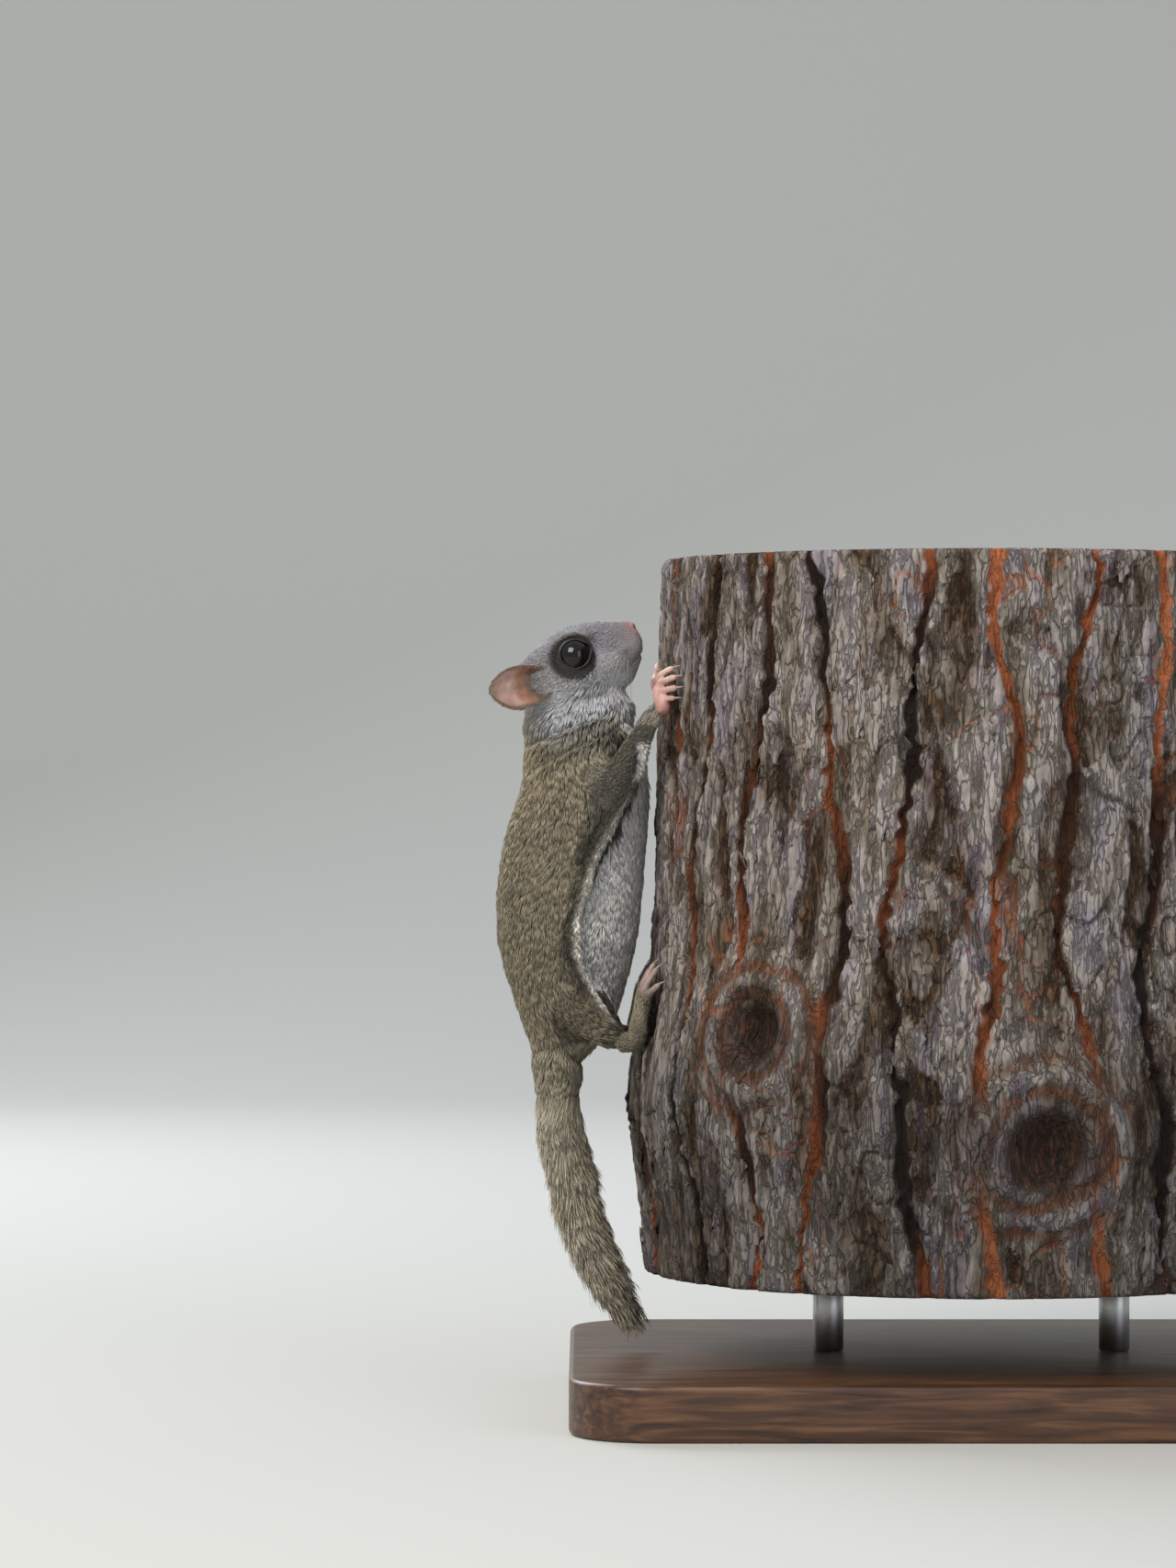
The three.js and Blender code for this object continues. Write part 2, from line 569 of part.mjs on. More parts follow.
// One flat lock: a ribbon of diamond section that leaves the core, bends along the tail and tapers.
function tailLock(u, turn, lengthScale, seed) {
  const { centre, along, out, size } = tailFrame(u);
  const radial = LATERAL.clone().multiplyScalar(Math.cos(turn)).addScaledVector(out, Math.sin(turn));
  const half = vec(TAIL.halfWide * Math.cos(turn), TAIL.halfThick * Math.sin(turn), 0).length() * size;
  const wideAxis = radial.clone().cross(along).normalize();
  const left = (1 - u) * TAIL.length + TAIL.tipOverhang;
  const length = Math.min(TAIL.lockLength * lengthScale * mix(0.62, 1, size), left);
  const sway = (chance(seed, 5) - 0.5) * 1.6;
  const rings = [];
  const steps = 3;
  for (let k = 0; k <= steps; k++) {
    const t = k / steps;
    const reach = half * mix(0.26, 1.0 - 0.1 * chance(seed, 3), Math.sin(1.45 * t ** 0.8));
    const place = centre.clone().addScaledVector(radial, reach).addScaledVector(along, length * t ** 1.15);
    place.addScaledVector(wideAxis, sway * t * t);
    const ahead = tailFrame(Math.min(1, u + (length * t) / TAIL.length)).centre;
    place.x += (ahead.x - centre.x - along.x * length * t) * 0.92;
    const width = mix(1.0, 0.2, t ** 2.2) * mix(1.8, 3.6, size) * (0.9 + 0.25 * chance(seed, 4));
    const thick = mix(1.0, 0.35, t);
    rings.push([
      place.clone().addScaledVector(wideAxis, width).addScaledVector(radial, -0.4 * thick),
      place.clone().addScaledVector(radial, thick),
      place.clone().addScaledVector(wideAxis, -width).addScaledVector(radial, -0.4 * thick),
    ]);
  }
  const mid = (ring) => ring[0].clone().add(ring[2]).multiplyScalar(0.5);
  const end = mid(rings[steps]).addScaledVector(along, 1.2);
  return ringLoft(rings, mid(rings[0]), end);
}

function tailSolid() {
  const locks = [];
  for (let row = 0; row < TAIL.lockRows; row++) {
    const u = mix(0.035, 0.87, row / (TAIL.lockRows - 1));
    for (let k = 0; k < TAIL.locksAround; k++) {
      const seed = row * 20 + k;
      const turn = (2 * Math.PI * (k + (row % 2) * 0.5 + 0.16 * (chance(seed) - 0.5))) / TAIL.locksAround;
      locks.push(tailLock(u + 0.012 * (chance(seed, 1) - 0.5), turn, 0.9 + 0.2 * chance(seed, 2), seed));
    }
  }
  return joined([tailCore(), ...locks]);
}

// Stand
function baseSolid() {
  const { length, width, height, corner, bevel } = BASE;
  const [x, y] = [length / 2 - bevel, width / 2 - bevel];
  const outline = new THREE.Shape();
  outline.moveTo(-x + corner, -y).lineTo(x - corner, -y);
  outline.absarc(x - corner, -y + corner, corner, -Math.PI / 2, 0);
  outline.lineTo(x, y - corner).absarc(x - corner, y - corner, corner, 0, Math.PI / 2);
  outline.lineTo(-x + corner, y).absarc(-x + corner, y - corner, corner, Math.PI / 2, Math.PI);
  outline.lineTo(-x, -y + corner).absarc(-x + corner, -y + corner, corner, Math.PI, 1.5 * Math.PI);
  const slab = new THREE.ExtrudeGeometry(outline, {
    depth: height - 2 * bevel, bevelSize: bevel, bevelThickness: bevel, bevelSegments: 1, curveSegments: 4,
  });
  slab.translate(0, 0, bevel);
  return solidOf(slab);
}

function rodSolid(x) {
  const length = TRUNK.bottom - BASE.height - 2 * GAP;
  const rod = new THREE.CylinderGeometry(ROD.radius, ROD.radius, length, ROD.sides);
  rod.rotateX(Math.PI / 2);
  rod.translate(x, 0, BASE.height + GAP + length / 2);
  return solidOf(rod);
}

// Assembly
const squirrel = new THREE.Group();

// The largest closed body of a solid, with its vertices on a fine grid so that slivers close up.
function cleanGeometry(solid) {
  const whole = solid.decompose().sort((a, b) => b.volume() - a.volume())[0];
  const { numVert, numProp, vertProperties, triVerts } = whole.getMesh();
  const positions = new Float32Array(3 * numVert);
  for (let i = 0; i < 3 * numVert; i++) {
    const value = vertProperties[Math.floor(i / 3) * numProp + (i % 3)];
    positions[i] = Math.round(value / GRID) * GRID;
  }
  const raw = new THREE.BufferGeometry().setAttribute("position", new THREE.BufferAttribute(positions, 3));
  raw.setIndex(new THREE.BufferAttribute(new Uint32Array(triVerts), 1));
  const merged = mergeVertices(raw, GRID / 4);
  const corners = merged.index.array;
  const kept = [];
  for (let i = 0; i < corners.length; i += 3) {
    const [a, b, c] = corners.slice(i, i + 3);
    if (a !== b && b !== c && a !== c) kept.push(a, b, c);
  }
  merged.setIndex(kept);
  return merged;
}

function addNode(name, solid, color, roughness = 0.85, metalness = 0) {
  const geometry = cleanGeometry(solid);
  geometry.computeVertexNormals();
  const material = new THREE.MeshStandardMaterial({ color, roughness, metalness });
  const node = new THREE.Mesh(geometry, material);
  node.name = name;
  squirrel.add(node);
}

const trunk = trunkSolid();
const trunkWithGap = trunkSolid(GAP);
const columnWithGap = columnSolid(GAP);
const skullWithGap = skullSolid(GAP);

// The neck is the top of the column, parted from the torso by a thin cut that rises to the throat.
const neckCut = vec(-0.33, 0, 0.944).normalize();
const neckCutAt = neckCut.dot(vec(-114, 0, 192));
const column = columnSolid();
const torso = column.trimByPlane(neckCut.clone().negate().toArray(), -neckCutAt);
const throat = ball(vec(-107.2, 0, 204.4), 8.8, [1, 1.1, 1], 0, 12, 8);
const neck = column.add(throat).trimByPlane(neckCut.toArray(), neckCutAt + GAP);

addNode("stand_base", baseSolid(), "#2f2622", 0.45);
addNode("stand_rod_left", rodSolid(-ROD.offset), "#8d8d8a", 0.35, 1);
addNode("stand_rod_right", rodSolid(ROD.offset), "#8d8d8a", 0.35, 1);
addNode("trunk", trunk, "#75685f", 0.95);
addNode("torso", cutBy(torso, [trunkWithGap]), SKIN);
addNode("neck", cutBy(neck, [skullWithGap, trunkWithGap]), SKIN);
addNode("head", headSolid(), "#8e8984");
addNode("tail", cutBy(tailSolid(), [columnWithGap, trunkWithGap]), "#857769");

for (const [label, side, reach] of [["right", -1, 0], ["left", 1, 4]]) {
  const arm = armStations(side, reach);
  const armSolid = limb(arm, { steps: 9, sides: 12 });
  const armWithGap = limb(arm, { steps: 9, sides: 12, grow: GAP });
  const wristHeight = arm[5].z;
  const hand = handSolid(side, reach);
  const leg = legStations(side);
  const legWithGap = limb(leg, { steps: 8, sides: 14, grow: GAP });
  const { sole, toes } = footParts(side);
  const heel = sole.trimByPlane([0, 0, -1], -ANKLE);
  const foot = joined([sole, ...toes]).trimByPlane([0, 0, 1], ANKLE + GAP);
  const shin = joined([limb(leg, { steps: 8, sides: 14 }), heel]);

  addNode(`eye_${label}`, eyeBall(side), "#0b0a0c", 0.05);
  addNode(`ear_${label}`, cutBy(earSolid(side), [skullWithGap, columnWithGap]), "#a98473");
  addNode(`arm_${label}`, cutBy(armSolid, [columnWithGap, trunkWithGap]).trimByPlane([0, 0, -1], -wristHeight), "#6f655b");
  addNode(`hand_${label}`, cutBy(hand, [trunkWithGap]), "#c9a497");
  addNode(`leg_${label}`, cutBy(shin, [columnWithGap, trunkWithGap, tailCore(GAP)]), SKIN);
  addNode(`foot_${label}`, cutBy(foot, [legWithGap, trunkWithGap]), "#b39b8c");
  const neighbours = [columnWithGap, armWithGap, legWithGap, trunkWithGap, sole, hand];
  addNode(`membrane_${label}`, cutBy(membraneSolid(side, reach), neighbours), "#5a5047");
}

export default squirrel;
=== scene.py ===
import itertools

import bmesh
import bpy
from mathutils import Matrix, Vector
from mathutils.kdtree import KDTree
import numpy as np


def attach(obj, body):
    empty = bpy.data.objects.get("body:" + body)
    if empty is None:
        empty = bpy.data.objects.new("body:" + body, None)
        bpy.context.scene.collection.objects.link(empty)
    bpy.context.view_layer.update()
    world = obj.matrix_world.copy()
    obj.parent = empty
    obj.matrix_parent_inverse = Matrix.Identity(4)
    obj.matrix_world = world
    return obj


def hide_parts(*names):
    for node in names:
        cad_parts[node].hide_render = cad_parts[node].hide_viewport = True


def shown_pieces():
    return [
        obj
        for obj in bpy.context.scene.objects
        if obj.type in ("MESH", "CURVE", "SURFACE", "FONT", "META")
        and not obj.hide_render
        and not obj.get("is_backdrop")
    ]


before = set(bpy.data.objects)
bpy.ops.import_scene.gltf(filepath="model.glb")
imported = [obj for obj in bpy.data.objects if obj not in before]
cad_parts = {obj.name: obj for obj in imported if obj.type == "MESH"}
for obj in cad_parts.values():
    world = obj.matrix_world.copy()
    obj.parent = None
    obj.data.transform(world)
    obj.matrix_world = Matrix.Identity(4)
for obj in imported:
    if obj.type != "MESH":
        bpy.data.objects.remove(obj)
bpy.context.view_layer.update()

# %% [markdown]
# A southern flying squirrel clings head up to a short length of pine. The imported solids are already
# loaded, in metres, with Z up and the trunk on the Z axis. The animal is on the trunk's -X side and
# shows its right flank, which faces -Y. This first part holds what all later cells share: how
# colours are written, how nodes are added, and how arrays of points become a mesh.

MM = 0.001
random = np.random.default_rng(11)


def linear(code):
    """An sRGB hex colour as the linear values that sockets and attributes hold."""
    parts = np.array([int(code[i:i + 2], 16) / 255 for i in (1, 3, 5)])
    return np.where(parts <= 0.04045, parts / 12.92, ((parts + 0.055) / 1.055) ** 2.4)


def rgba(code):
    """A hex colour as the four linear values that a colour socket takes."""
    return (*linear(code), 1.0)


def set_inputs(tree, node, inputs):
    """Links each input that is given a socket and sets each other one to its value."""
    for name, value in inputs.items():
        if isinstance(value, bpy.types.NodeSocket):
            tree.links.new(value, node.inputs[name])
        else:
            node.inputs[name].default_value = value


def add_node(tree, kind, settings=None, inputs=None, stops=()):
    """Adds one node with its settings and links; `stops` are a ramp's places and hex colours."""
    node = tree.nodes.new(kind)
    for name, value in (settings or {}).items():
        setattr(node, name, value)
    set_inputs(tree, node, inputs or {})
    for _ in stops[2:]:
        node.color_ramp.elements.new(0.5)
    for k, (place, code) in enumerate(stops):
        node.color_ramp.elements[k].position = place
        node.color_ramp.elements[k].color = rgba(code)
    return node


def new_material(name):
    """A new material with its node tree and its shader."""
    made = bpy.data.materials.new(name)
    made.use_nodes = True
    return made, made.node_tree, made.node_tree.nodes["Principled BSDF"]


print("mid grey in linear light", linear("#808080").round(3))

# %% [markdown]
# Four small sums recur everywhere: a blend of two values, a vector of length one, a step from 0 to 1
# with soft ends and a soft bump. The soft step is used instead of a plain test, so that no change of
# shape or colour on the animal has a hard line.

# %% Small sums
def mix(a, b, t):
    """From a, where t is 0, to b, where t is 1."""
    return a + (b - a) * t


def unit(v):
    """Each vector at length one."""
    return v / np.maximum(np.linalg.norm(v, axis=-1, keepdims=True), 1e-9)


def smooth_step(low, high, x):
    """0 up to `low` and 1 from `high` on, with soft ends; `low` may be the larger."""
    t = np.clip((x - low) / (high - low), 0, 1)
    return t * t * (3 - 2 * t)


def bell(away, reach):
    """A soft bump: 1 where `away` is 0, and next to nothing at twice the reach."""
    return np.exp(-((away / reach) ** 2))


print("a soft step at a quarter of its way is", smooth_step(0, 1, 0.25))

# %% [markdown]
# A coat has far too many hairs to add one by one. Shapes are therefore worked out as arrays of points
# in millimetres, and Blender takes each array whole. Colours and other values sit on the points.

# %% Arrays to meshes
def mesh_from(name, points, faces, smooth=True):
    """A mesh in metres from points in millimetres and faces of equal size."""
    mesh = bpy.data.meshes.new(name)
    corners = faces.shape[1]
    mesh.vertices.add(len(points))
    mesh.vertices.foreach_set("co", (np.asarray(points) * MM).ravel().astype(np.float32))
    mesh.loops.add(faces.size)
    mesh.loops.foreach_set("vertex_index", faces.ravel().astype(np.int32))
    mesh.polygons.add(len(faces))
    mesh.polygons.foreach_set("loop_start", np.arange(0, faces.size, corners, dtype=np.int32))
    mesh.update(calc_edges=True)
    mesh.polygons.foreach_set("use_smooth", np.full(len(faces), smooth))
    return mesh


def object_from(name, mesh):
    """Puts a mesh, lamp or camera in the scene."""
    piece = bpy.data.objects.new(name, mesh)
    bpy.context.scene.collection.objects.link(piece)
    return piece


def paint(mesh, name, colours):
    """Stores one linear colour for each point."""
    attribute = mesh.color_attributes.new(name, "FLOAT_COLOR", "POINT")
    values = np.ones((len(colours), 4), np.float32)
    values[:, :3] = colours
    attribute.data.foreach_set("color", values.ravel())


def store(mesh, name, values):
    """Stores one number for each point."""
    mesh.attributes.new(name, "FLOAT", "POINT").data.foreach_set("value", values.astype(np.float32))


def finish_piece(piece, material, replaced=()):
    """Gives a piece its finish, ties it to the model's one body and hides the imported parts it replaces."""
    piece.data.materials.append(material)
    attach(piece, "root")
    if replaced:
        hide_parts(*replaced)
    print(piece.name, len(piece.data.polygons), "faces")


print("meshes are in metres, with", round(1 / MM), "of their arrays' units in each")

# %% [markdown]
# Fur, skin and bark are never even. Drawing at random would change the model on each run, so this
# noise works its lumps out from whole numbers and a seed, and is the same every time.

# %% Repeatable noise
def hashed(cells, seed):
    """A value from 0 to 1 for each row of three whole numbers."""
    mixed = cells[..., 0] * 73856093 ^ cells[..., 1] * 19349663 ^ cells[..., 2] * 83492791
    mixed = (mixed ^ (seed * 2654435761)) & 0xFFFFFFFF
    mixed = ((mixed ^ (mixed >> 15)) * 2246822519) & 0xFFFFFFFF
    return ((mixed ^ (mixed >> 13)) & 0xFFFF) / 0xFFFF


def noise(points, lump, seed=0):
    """Smooth noise from -1 to 1, with lumps of the given size in millimetres."""
    place = points / lump
    cell = np.floor(place).astype(np.int64)
    f = place - cell
    f = f * f * (3 - 2 * f)
    total = np.zeros(len(points))
    for corner in itertools.product((0, 1), repeat=3):
        weight = np.prod(np.where(corner, f, 1 - f), axis=1)
        total += weight * hashed(cell + corner, seed)
    return 2 * total - 1


def rows_at(rows, u):
    """Reads a table of rows as smooth curves, u running from 0 at the first to 1 at the last."""
    rows = np.asarray(rows, float)
    padded = np.vstack([2 * rows[0] - rows[1], rows, 2 * rows[-1] - rows[-2]])
    place = np.clip(u, 0, 1) * (len(rows) - 1)
    i = np.minimum(place.astype(int), len(rows) - 2)
    f = (place - i)[:, None]
    a, b, c, d = (padded[i + k] for k in range(4))
    return b + 0.5 * f * (c - a + f * (2 * a - 5 * b + 4 * c - d + f * (3 * (b - c) + d - a)))


# %% [markdown]
# The camera stands level with the animal's shoulder, far back with a long lens, as in wildlife
# pictures taken from a distance. The lens is worked out from the width of the scene at the animal,
# so that one millimetre there covers the same share of the picture as in the photograph.

# %% Camera
CAMERA_AT = (-112.6, -1600.0, 182.5)
VIEW_WIDTH = 345.6
SENSOR_WIDTH = 36.0

camera_data = bpy.data.cameras.new("camera")
camera_data.sensor_fit = "HORIZONTAL"
camera_data.sensor_width = SENSOR_WIDTH
camera_data.lens = SENSOR_WIDTH * -CAMERA_AT[1] / VIEW_WIDTH
camera = object_from("camera", camera_data)
camera.location = Vector(CAMERA_AT) * MM
camera.rotation_euler = (np.pi / 2, 0, 0)
bpy.context.scene.camera = camera
print("lens", round(camera_data.lens, 1), "mm")

# %% [markdown]
# The studio is a pale sheet that lies flat under the stand and curves up far behind it, so that no
# horizon line crosses the picture. Wide soft lamps give daylight from above on the left, a weaker
# fill from the right and a little light from behind that lifts the edge of the coat.

# %% Studio
SWEEP_HALF = 2600.0
SWEEP_BACK = 1500.0
SWEEP_RADIUS = 900.0
SWEEP_HEIGHT = 3000.0


def sweep_profile():
    """Points (y, z) of the sheet from the front edge, along the floor and up the back."""
    turn = np.linspace(0, np.pi / 2, 24)
    bend = np.stack([SWEEP_BACK + SWEEP_RADIUS * np.sin(turn), SWEEP_RADIUS * (1 - np.cos(turn))], 1)
    return np.vstack([[[-SWEEP_HALF, 0]], bend, [[SWEEP_BACK + SWEEP_RADIUS, SWEEP_HEIGHT]]])


profile = sweep_profile()
count = len(profile)
sweep_points = np.array([(x, y, z) for x in (-SWEEP_HALF, SWEEP_HALF) for y, z in profile])
sweep_faces = np.array([(i, i + count, i + count + 1, i + 1) for i in range(count - 1)])
sweep = object_from("studio_sweep", mesh_from("studio_sweep", sweep_points, sweep_faces))

# matt paper has no shine, so the sheet stays an even grey behind the coat
paper, tree, shader = new_material("matt_background_paper")
set_inputs(tree, shader, {"Base Color": rgba("#c3c4c0"), "Roughness": 0.9, "Specular IOR Level": 0.2})
sweep.data.materials.append(paper)
sweep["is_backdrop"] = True

print("background sheet of", len(sweep_faces), "strips")

# %% [markdown]
# Small hard lamps would draw black lines between the hairs. A lamp with a wide face gives the soft
# shadow of daylight, and a dim pale world fills what the lamps don't reach.

# %% Lamps
LAMPS = [
    # name, place in metres, size, watts, colour
    ("window_light", (-0.9, -1.3, 1.5), 1.1, 34, "#fff6ea"),
    ("fill_light", (1.3, -1.5, 0.6), 1.4, 12, "#eaf0ff"),
    ("back_light", (-0.9, 1.1, 1.0), 0.9, 18, "#f4f8ff"),
]
for name, place, size, watts, tint in LAMPS:
    light = bpy.data.lights.new(name, "AREA")
    light.size = size
    light.energy = watts
    light.color = linear(tint)
    lamp = object_from(name, light)
    lamp.location = place
    aim = Vector((-0.08, 0, 0.15)) - Vector(place)
    lamp.rotation_euler = aim.to_track_quat("-Z", "Y").to_euler()

world = bpy.data.worlds.new("studio_air")
bpy.context.scene.world = world
world.use_nodes = True
sky = world.node_tree.nodes["Background"]
sky.inputs["Color"].default_value = rgba("#e8edf4")
sky.inputs["Strength"].default_value = 0.62
# the plain transform shows each hex colour as it was written
bpy.context.scene.view_settings.view_transform = "Standard"
print(len(LAMPS), "lamps")

# %% [markdown]
# The bark's outline is the same rule as in the solids: a slightly tapering column that swells at
# a whorl of old branches and has a sunken scar with a raised rim where each branch was. The hands
# and feet are set on this outline, so it comes before the animal.

# %% The trunk's outline
TRUNK = {
    "bottom": 40.0, "top": 248.0, "radius_top": 90.8, "radius_foot": 96.2,
    "whorl_height": 91.0, "whorl_rise": 6.0, "whorl_reach": 30.0, "furrows": 24,
}
KNOTS = [
    # angle from -X towards -Y, height, radius, rise of the rim, depth of the pit
    (0.83, 113, 17, 3.4, 4.2), (1.72, 81, 20, 3.6, 5.0), (3.35, 96, 16, 3.2, 3.6), (4.85, 88, 18, 3.4, 4.2),
]


def knot_distance(angle, z, radius, knot):
    """Distance from a knot's centre, as a share of the knot's radius."""
    turn = np.arctan2(np.sin(angle - knot[0]), np.cos(angle - knot[0]))
    return np.hypot(turn * radius, z - knot[1]) / knot[2]


def trunk_radius(angle, z):
    """Radius of the bark's outline, with its whorl and knots but without its furrows."""
    low = (TRUNK["top"] - z) / (TRUNK["top"] - TRUNK["bottom"])
    whorl = bell(z - TRUNK["whorl_height"], TRUNK["whorl_reach"])
    radius = mix(TRUNK["radius_top"], TRUNK["radius_foot"], low) + TRUNK["whorl_rise"] * whorl
    for knot in KNOTS:
        away = knot_distance(angle, z, radius, knot)
        rim = knot[3] * bell(away - 0.85, 0.42)
        radius = radius + rim - knot[4] * bell(away, 0.5)
    return radius


def on_trunk(angle, z, lift):
    """A point at an angle and a height, lifted off the bark."""
    r = trunk_radius(angle, z) + lift
    return [-r * np.cos(angle), -r * np.sin(angle), z]


print("trunk radius at the hands", round(float(trunk_radius(0.3, 205.0)), 1), "mm")

# %% [markdown]
# Every fleshy form is a loft: rings of points strung on a smooth curve and closed at both ends.
# Fingers, toes and claws are round lofts through a few stations of x, y, z and radius.

# %% Lofts
def loft(rings):
    """A closed surface of triangles through rings of equal count."""
    steps, n = rings.shape[:2]
    k, j = np.meshgrid(np.arange(steps - 1), np.arange(n), indexing="ij")
    a = (k * n + j).ravel()
    b = (k * n + (j + 1) % n).ravel()
    sides = np.vstack([np.stack([a, b, b + n], 1), np.stack([a, b + n, a + n], 1)])
    edge = np.arange(n)
    turned = (edge + 1) % n
    first = np.stack([np.full(n, steps * n), turned, edge], 1)
    last = np.stack([np.full(n, steps * n + 1), (steps - 1) * n + edge, (steps - 1) * n + turned], 1)
    points = np.vstack([rings.reshape(-1, 3), rings[0].mean(0), rings[-1].mean(0)])
    faces = np.vstack([sides, first, last])
    corner = points[faces]
    volume = np.einsum("ij,ij->i", corner[:, 0], np.cross(corner[:, 1], corner[:, 2])).sum()
    return points, faces if volume > 0 else faces[:, ::-1]


def limb(stations, sides=14, steps=18, flat=1.0, shape=None):
    """A tube through stations (x, y, z, radius) with domed ends, widened by `flat` along Y."""
    u = np.linspace(0, 1, steps + 1)
    here = rows_at(stations, u)
    along = unit(np.gradient(here[:, :3], axis=0))
    across = unit(np.array([0.0, 1.0, 0.0]) - along * along[:, 1:2])
    up = np.cross(across, along)
    dome = np.sqrt(np.clip(1 - (np.abs(2 * u - 1) ** 8) * 0.96, 0, 1))
    radius = here[:, 3] * dome * (1 if shape is None else shape(u))
    turn = 2 * np.pi * np.arange(sides) / sides
    c, s = np.cos(turn)[None, :, None], np.sin(turn)[None, :, None]
    ring = c * across[:, None] * flat + s * up[:, None]
    return loft(here[:, None, :3] + ring * radius[:, None, None])


def gather(shapes):
    """Many (points, faces) pairs as one pair."""
    points, faces, start = [], [], 0
    for shape_points, shape_faces in shapes:
        points.append(shape_points)
        faces.append(shape_faces + start)
        start += len(shape_points)
    return np.vstack(points), np.vstack(faces)


print("a plain tube has", len(limb([(0, 0, 0, 1), (0, 0, 9, 1)])[1]), "triangles")

# %% [markdown]
# Lofts that overlap still look like parts pushed together. A voxel remesh melts them into one even
# surface, as skin covers a body, and a few rounds of smoothing soften where they meet.

# %% Remeshing and smoothing
def fused(shapes, voxel):
    """Overlapping closed shapes as one even surface of quads."""
    points, faces = gather(shapes)
    rough = object_from("rough", mesh_from("rough", points, faces))
    remesh = rough.modifiers.new("even", "REMESH")
    remesh.mode = "VOXEL"
    remesh.voxel_size = voxel * MM
    return applied(rough)


def applied(rough):
    """Runs an object's modifiers, removes the object and returns the result as arrays."""
    graph = bpy.context.evaluated_depsgraph_get()
    mesh = bpy.data.meshes.new_from_object(rough.evaluated_get(graph), depsgraph=graph)
    points, faces = arrays_of(mesh)
    bpy.data.objects.remove(rough)
    bpy.data.meshes.remove(mesh)
    return points, faces


def arrays_of(mesh):
    """A mesh's points in millimetres and its faces, which all have as many corners."""
    points = np.empty(len(mesh.vertices) * 3, np.float32)
    mesh.vertices.foreach_get("co", points)
    corners = np.empty(len(mesh.loops), np.int32)
    mesh.loops.foreach_get("vertex_index", corners)
    faces = corners.reshape(len(mesh.polygons), -1).astype(int)
    return points.reshape(-1, 3).astype(float) / MM, faces


def point_normals(points, faces):
    """The way each point faces, from the faces round it."""
    corner = points[faces]
    face_normal = np.cross(corner[:, 2] - corner[:, 0], corner[:, -1] - corner[:, 1])
    total = np.zeros((len(points), 3))
    for k in range(faces.shape[1]):
        for axis in range(3):
            total[:, axis] += np.bincount(faces[:, k], face_normal[:, axis], len(points))
    return unit(total)


def relaxed(points, faces, amount, rounds):
    """Moves each point towards the mean of its neighbours, by its own share, a few times."""
    start = faces.ravel()
    end = np.roll(faces, -1, axis=1).ravel()
    count = np.maximum(np.bincount(start, minlength=len(points)), 1)[:, None]
    for _ in range(rounds):
        mean = np.stack([np.bincount(start, points[end, k], len(points)) for k in range(3)], 1) / count
        points = points + amount[:, None] * (mean - points)
    return points


print("remeshing and smoothing ready")

# %% [markdown]
# Guides say which part of the body a point belongs to and which way its coat lies. Each is a chain
# of stations (x, y, z, radius) that runs the way the hair does: from the nose back over the head,
# down the trunk of the body, out along the limbs and down the tail.

# %% Guides
HEAD_TILT = 0.484
BACKWARD = np.array([-np.cos(HEAD_TILT), 0, -np.sin(HEAD_TILT)])
CROWNWARD = np.array([-np.sin(HEAD_TILT), 0, np.cos(HEAD_TILT)])
NOSE = np.array([-98.0, 0.0, 226.1])


def on_head(along, rise, y=0.0):
    """The point that lies so far back from the nose and so far towards the crown."""
    return NOSE + along * BACKWARD + rise * CROWNWARD + np.array([0.0, y, 0.0])


def head_place(points):
    """Head coordinates of points: distance back from the nose, height towards the crown, and y."""
    away = points - NOSE
    return away @ BACKWARD, away @ CROWNWARD, away[:, 1]


print("the head is tilted", round(float(np.degrees(HEAD_TILT))), "degrees from level")

# %% Lines of the tail and the gliding fold
# x, z and size of the tail's core from its root to its tip
TAIL_LINE = [
    (-122.4, 108.0, 0.9), (-121.5, 101.0, 0.98), (-121.5, 94.0, 0.98), (-121.1, 87.0, 1.0),
    (-119.9, 79.0, 1.02), (-118.0, 70.6, 1.02), (-116.2, 62.0, 0.98), (-113.9, 53.9, 0.93),
    (-110.9, 45.8, 0.84), (-107.6, 39.0, 0.68), (-104.6, 33.2, 0.45), (-101.9, 29.0, 0.2),
]
TAIL_THICK = 7.3
TAIL_WIDE = 11.5
REACH = {-1: 0.0, 1: 4.0}  # the left hand holds this much higher than the right

# where wrists and ankles meet the bark, as an angle from -X and a height
WRIST_ANGLE, WRIST_Z = 0.312, 204.5
ANKLE_ANGLE, ANKLE_Z = 0.236, 109.0
TOE_ANGLE = 0.254
TOES_Z = 121.6

# points on the free edge of the left fold, from the wrist down to the ankle
MEMBRANE_RIM = np.array([
    (-93.0, 28.4, 199.0), (-95.0, 27.4, 193.0), (-96.6, 25.6, 186.2), (-99.9, 24.2, 178.8),
    (-103.2, 23.6, 171.3), (-107.2, 24.0, 164.0), (-111.3, 24.9, 155.0), (-114.6, 25.7, 143.0),
    (-114.9, 26.6, 133.5), (-110.9, 27.0, 123.8), (-106.4, 26.6, 116.8), (-103.6, 25.4, 111.4),
])
print("tail of", len(TAIL_LINE), "stations, fold of", len(MEMBRANE_RIM))


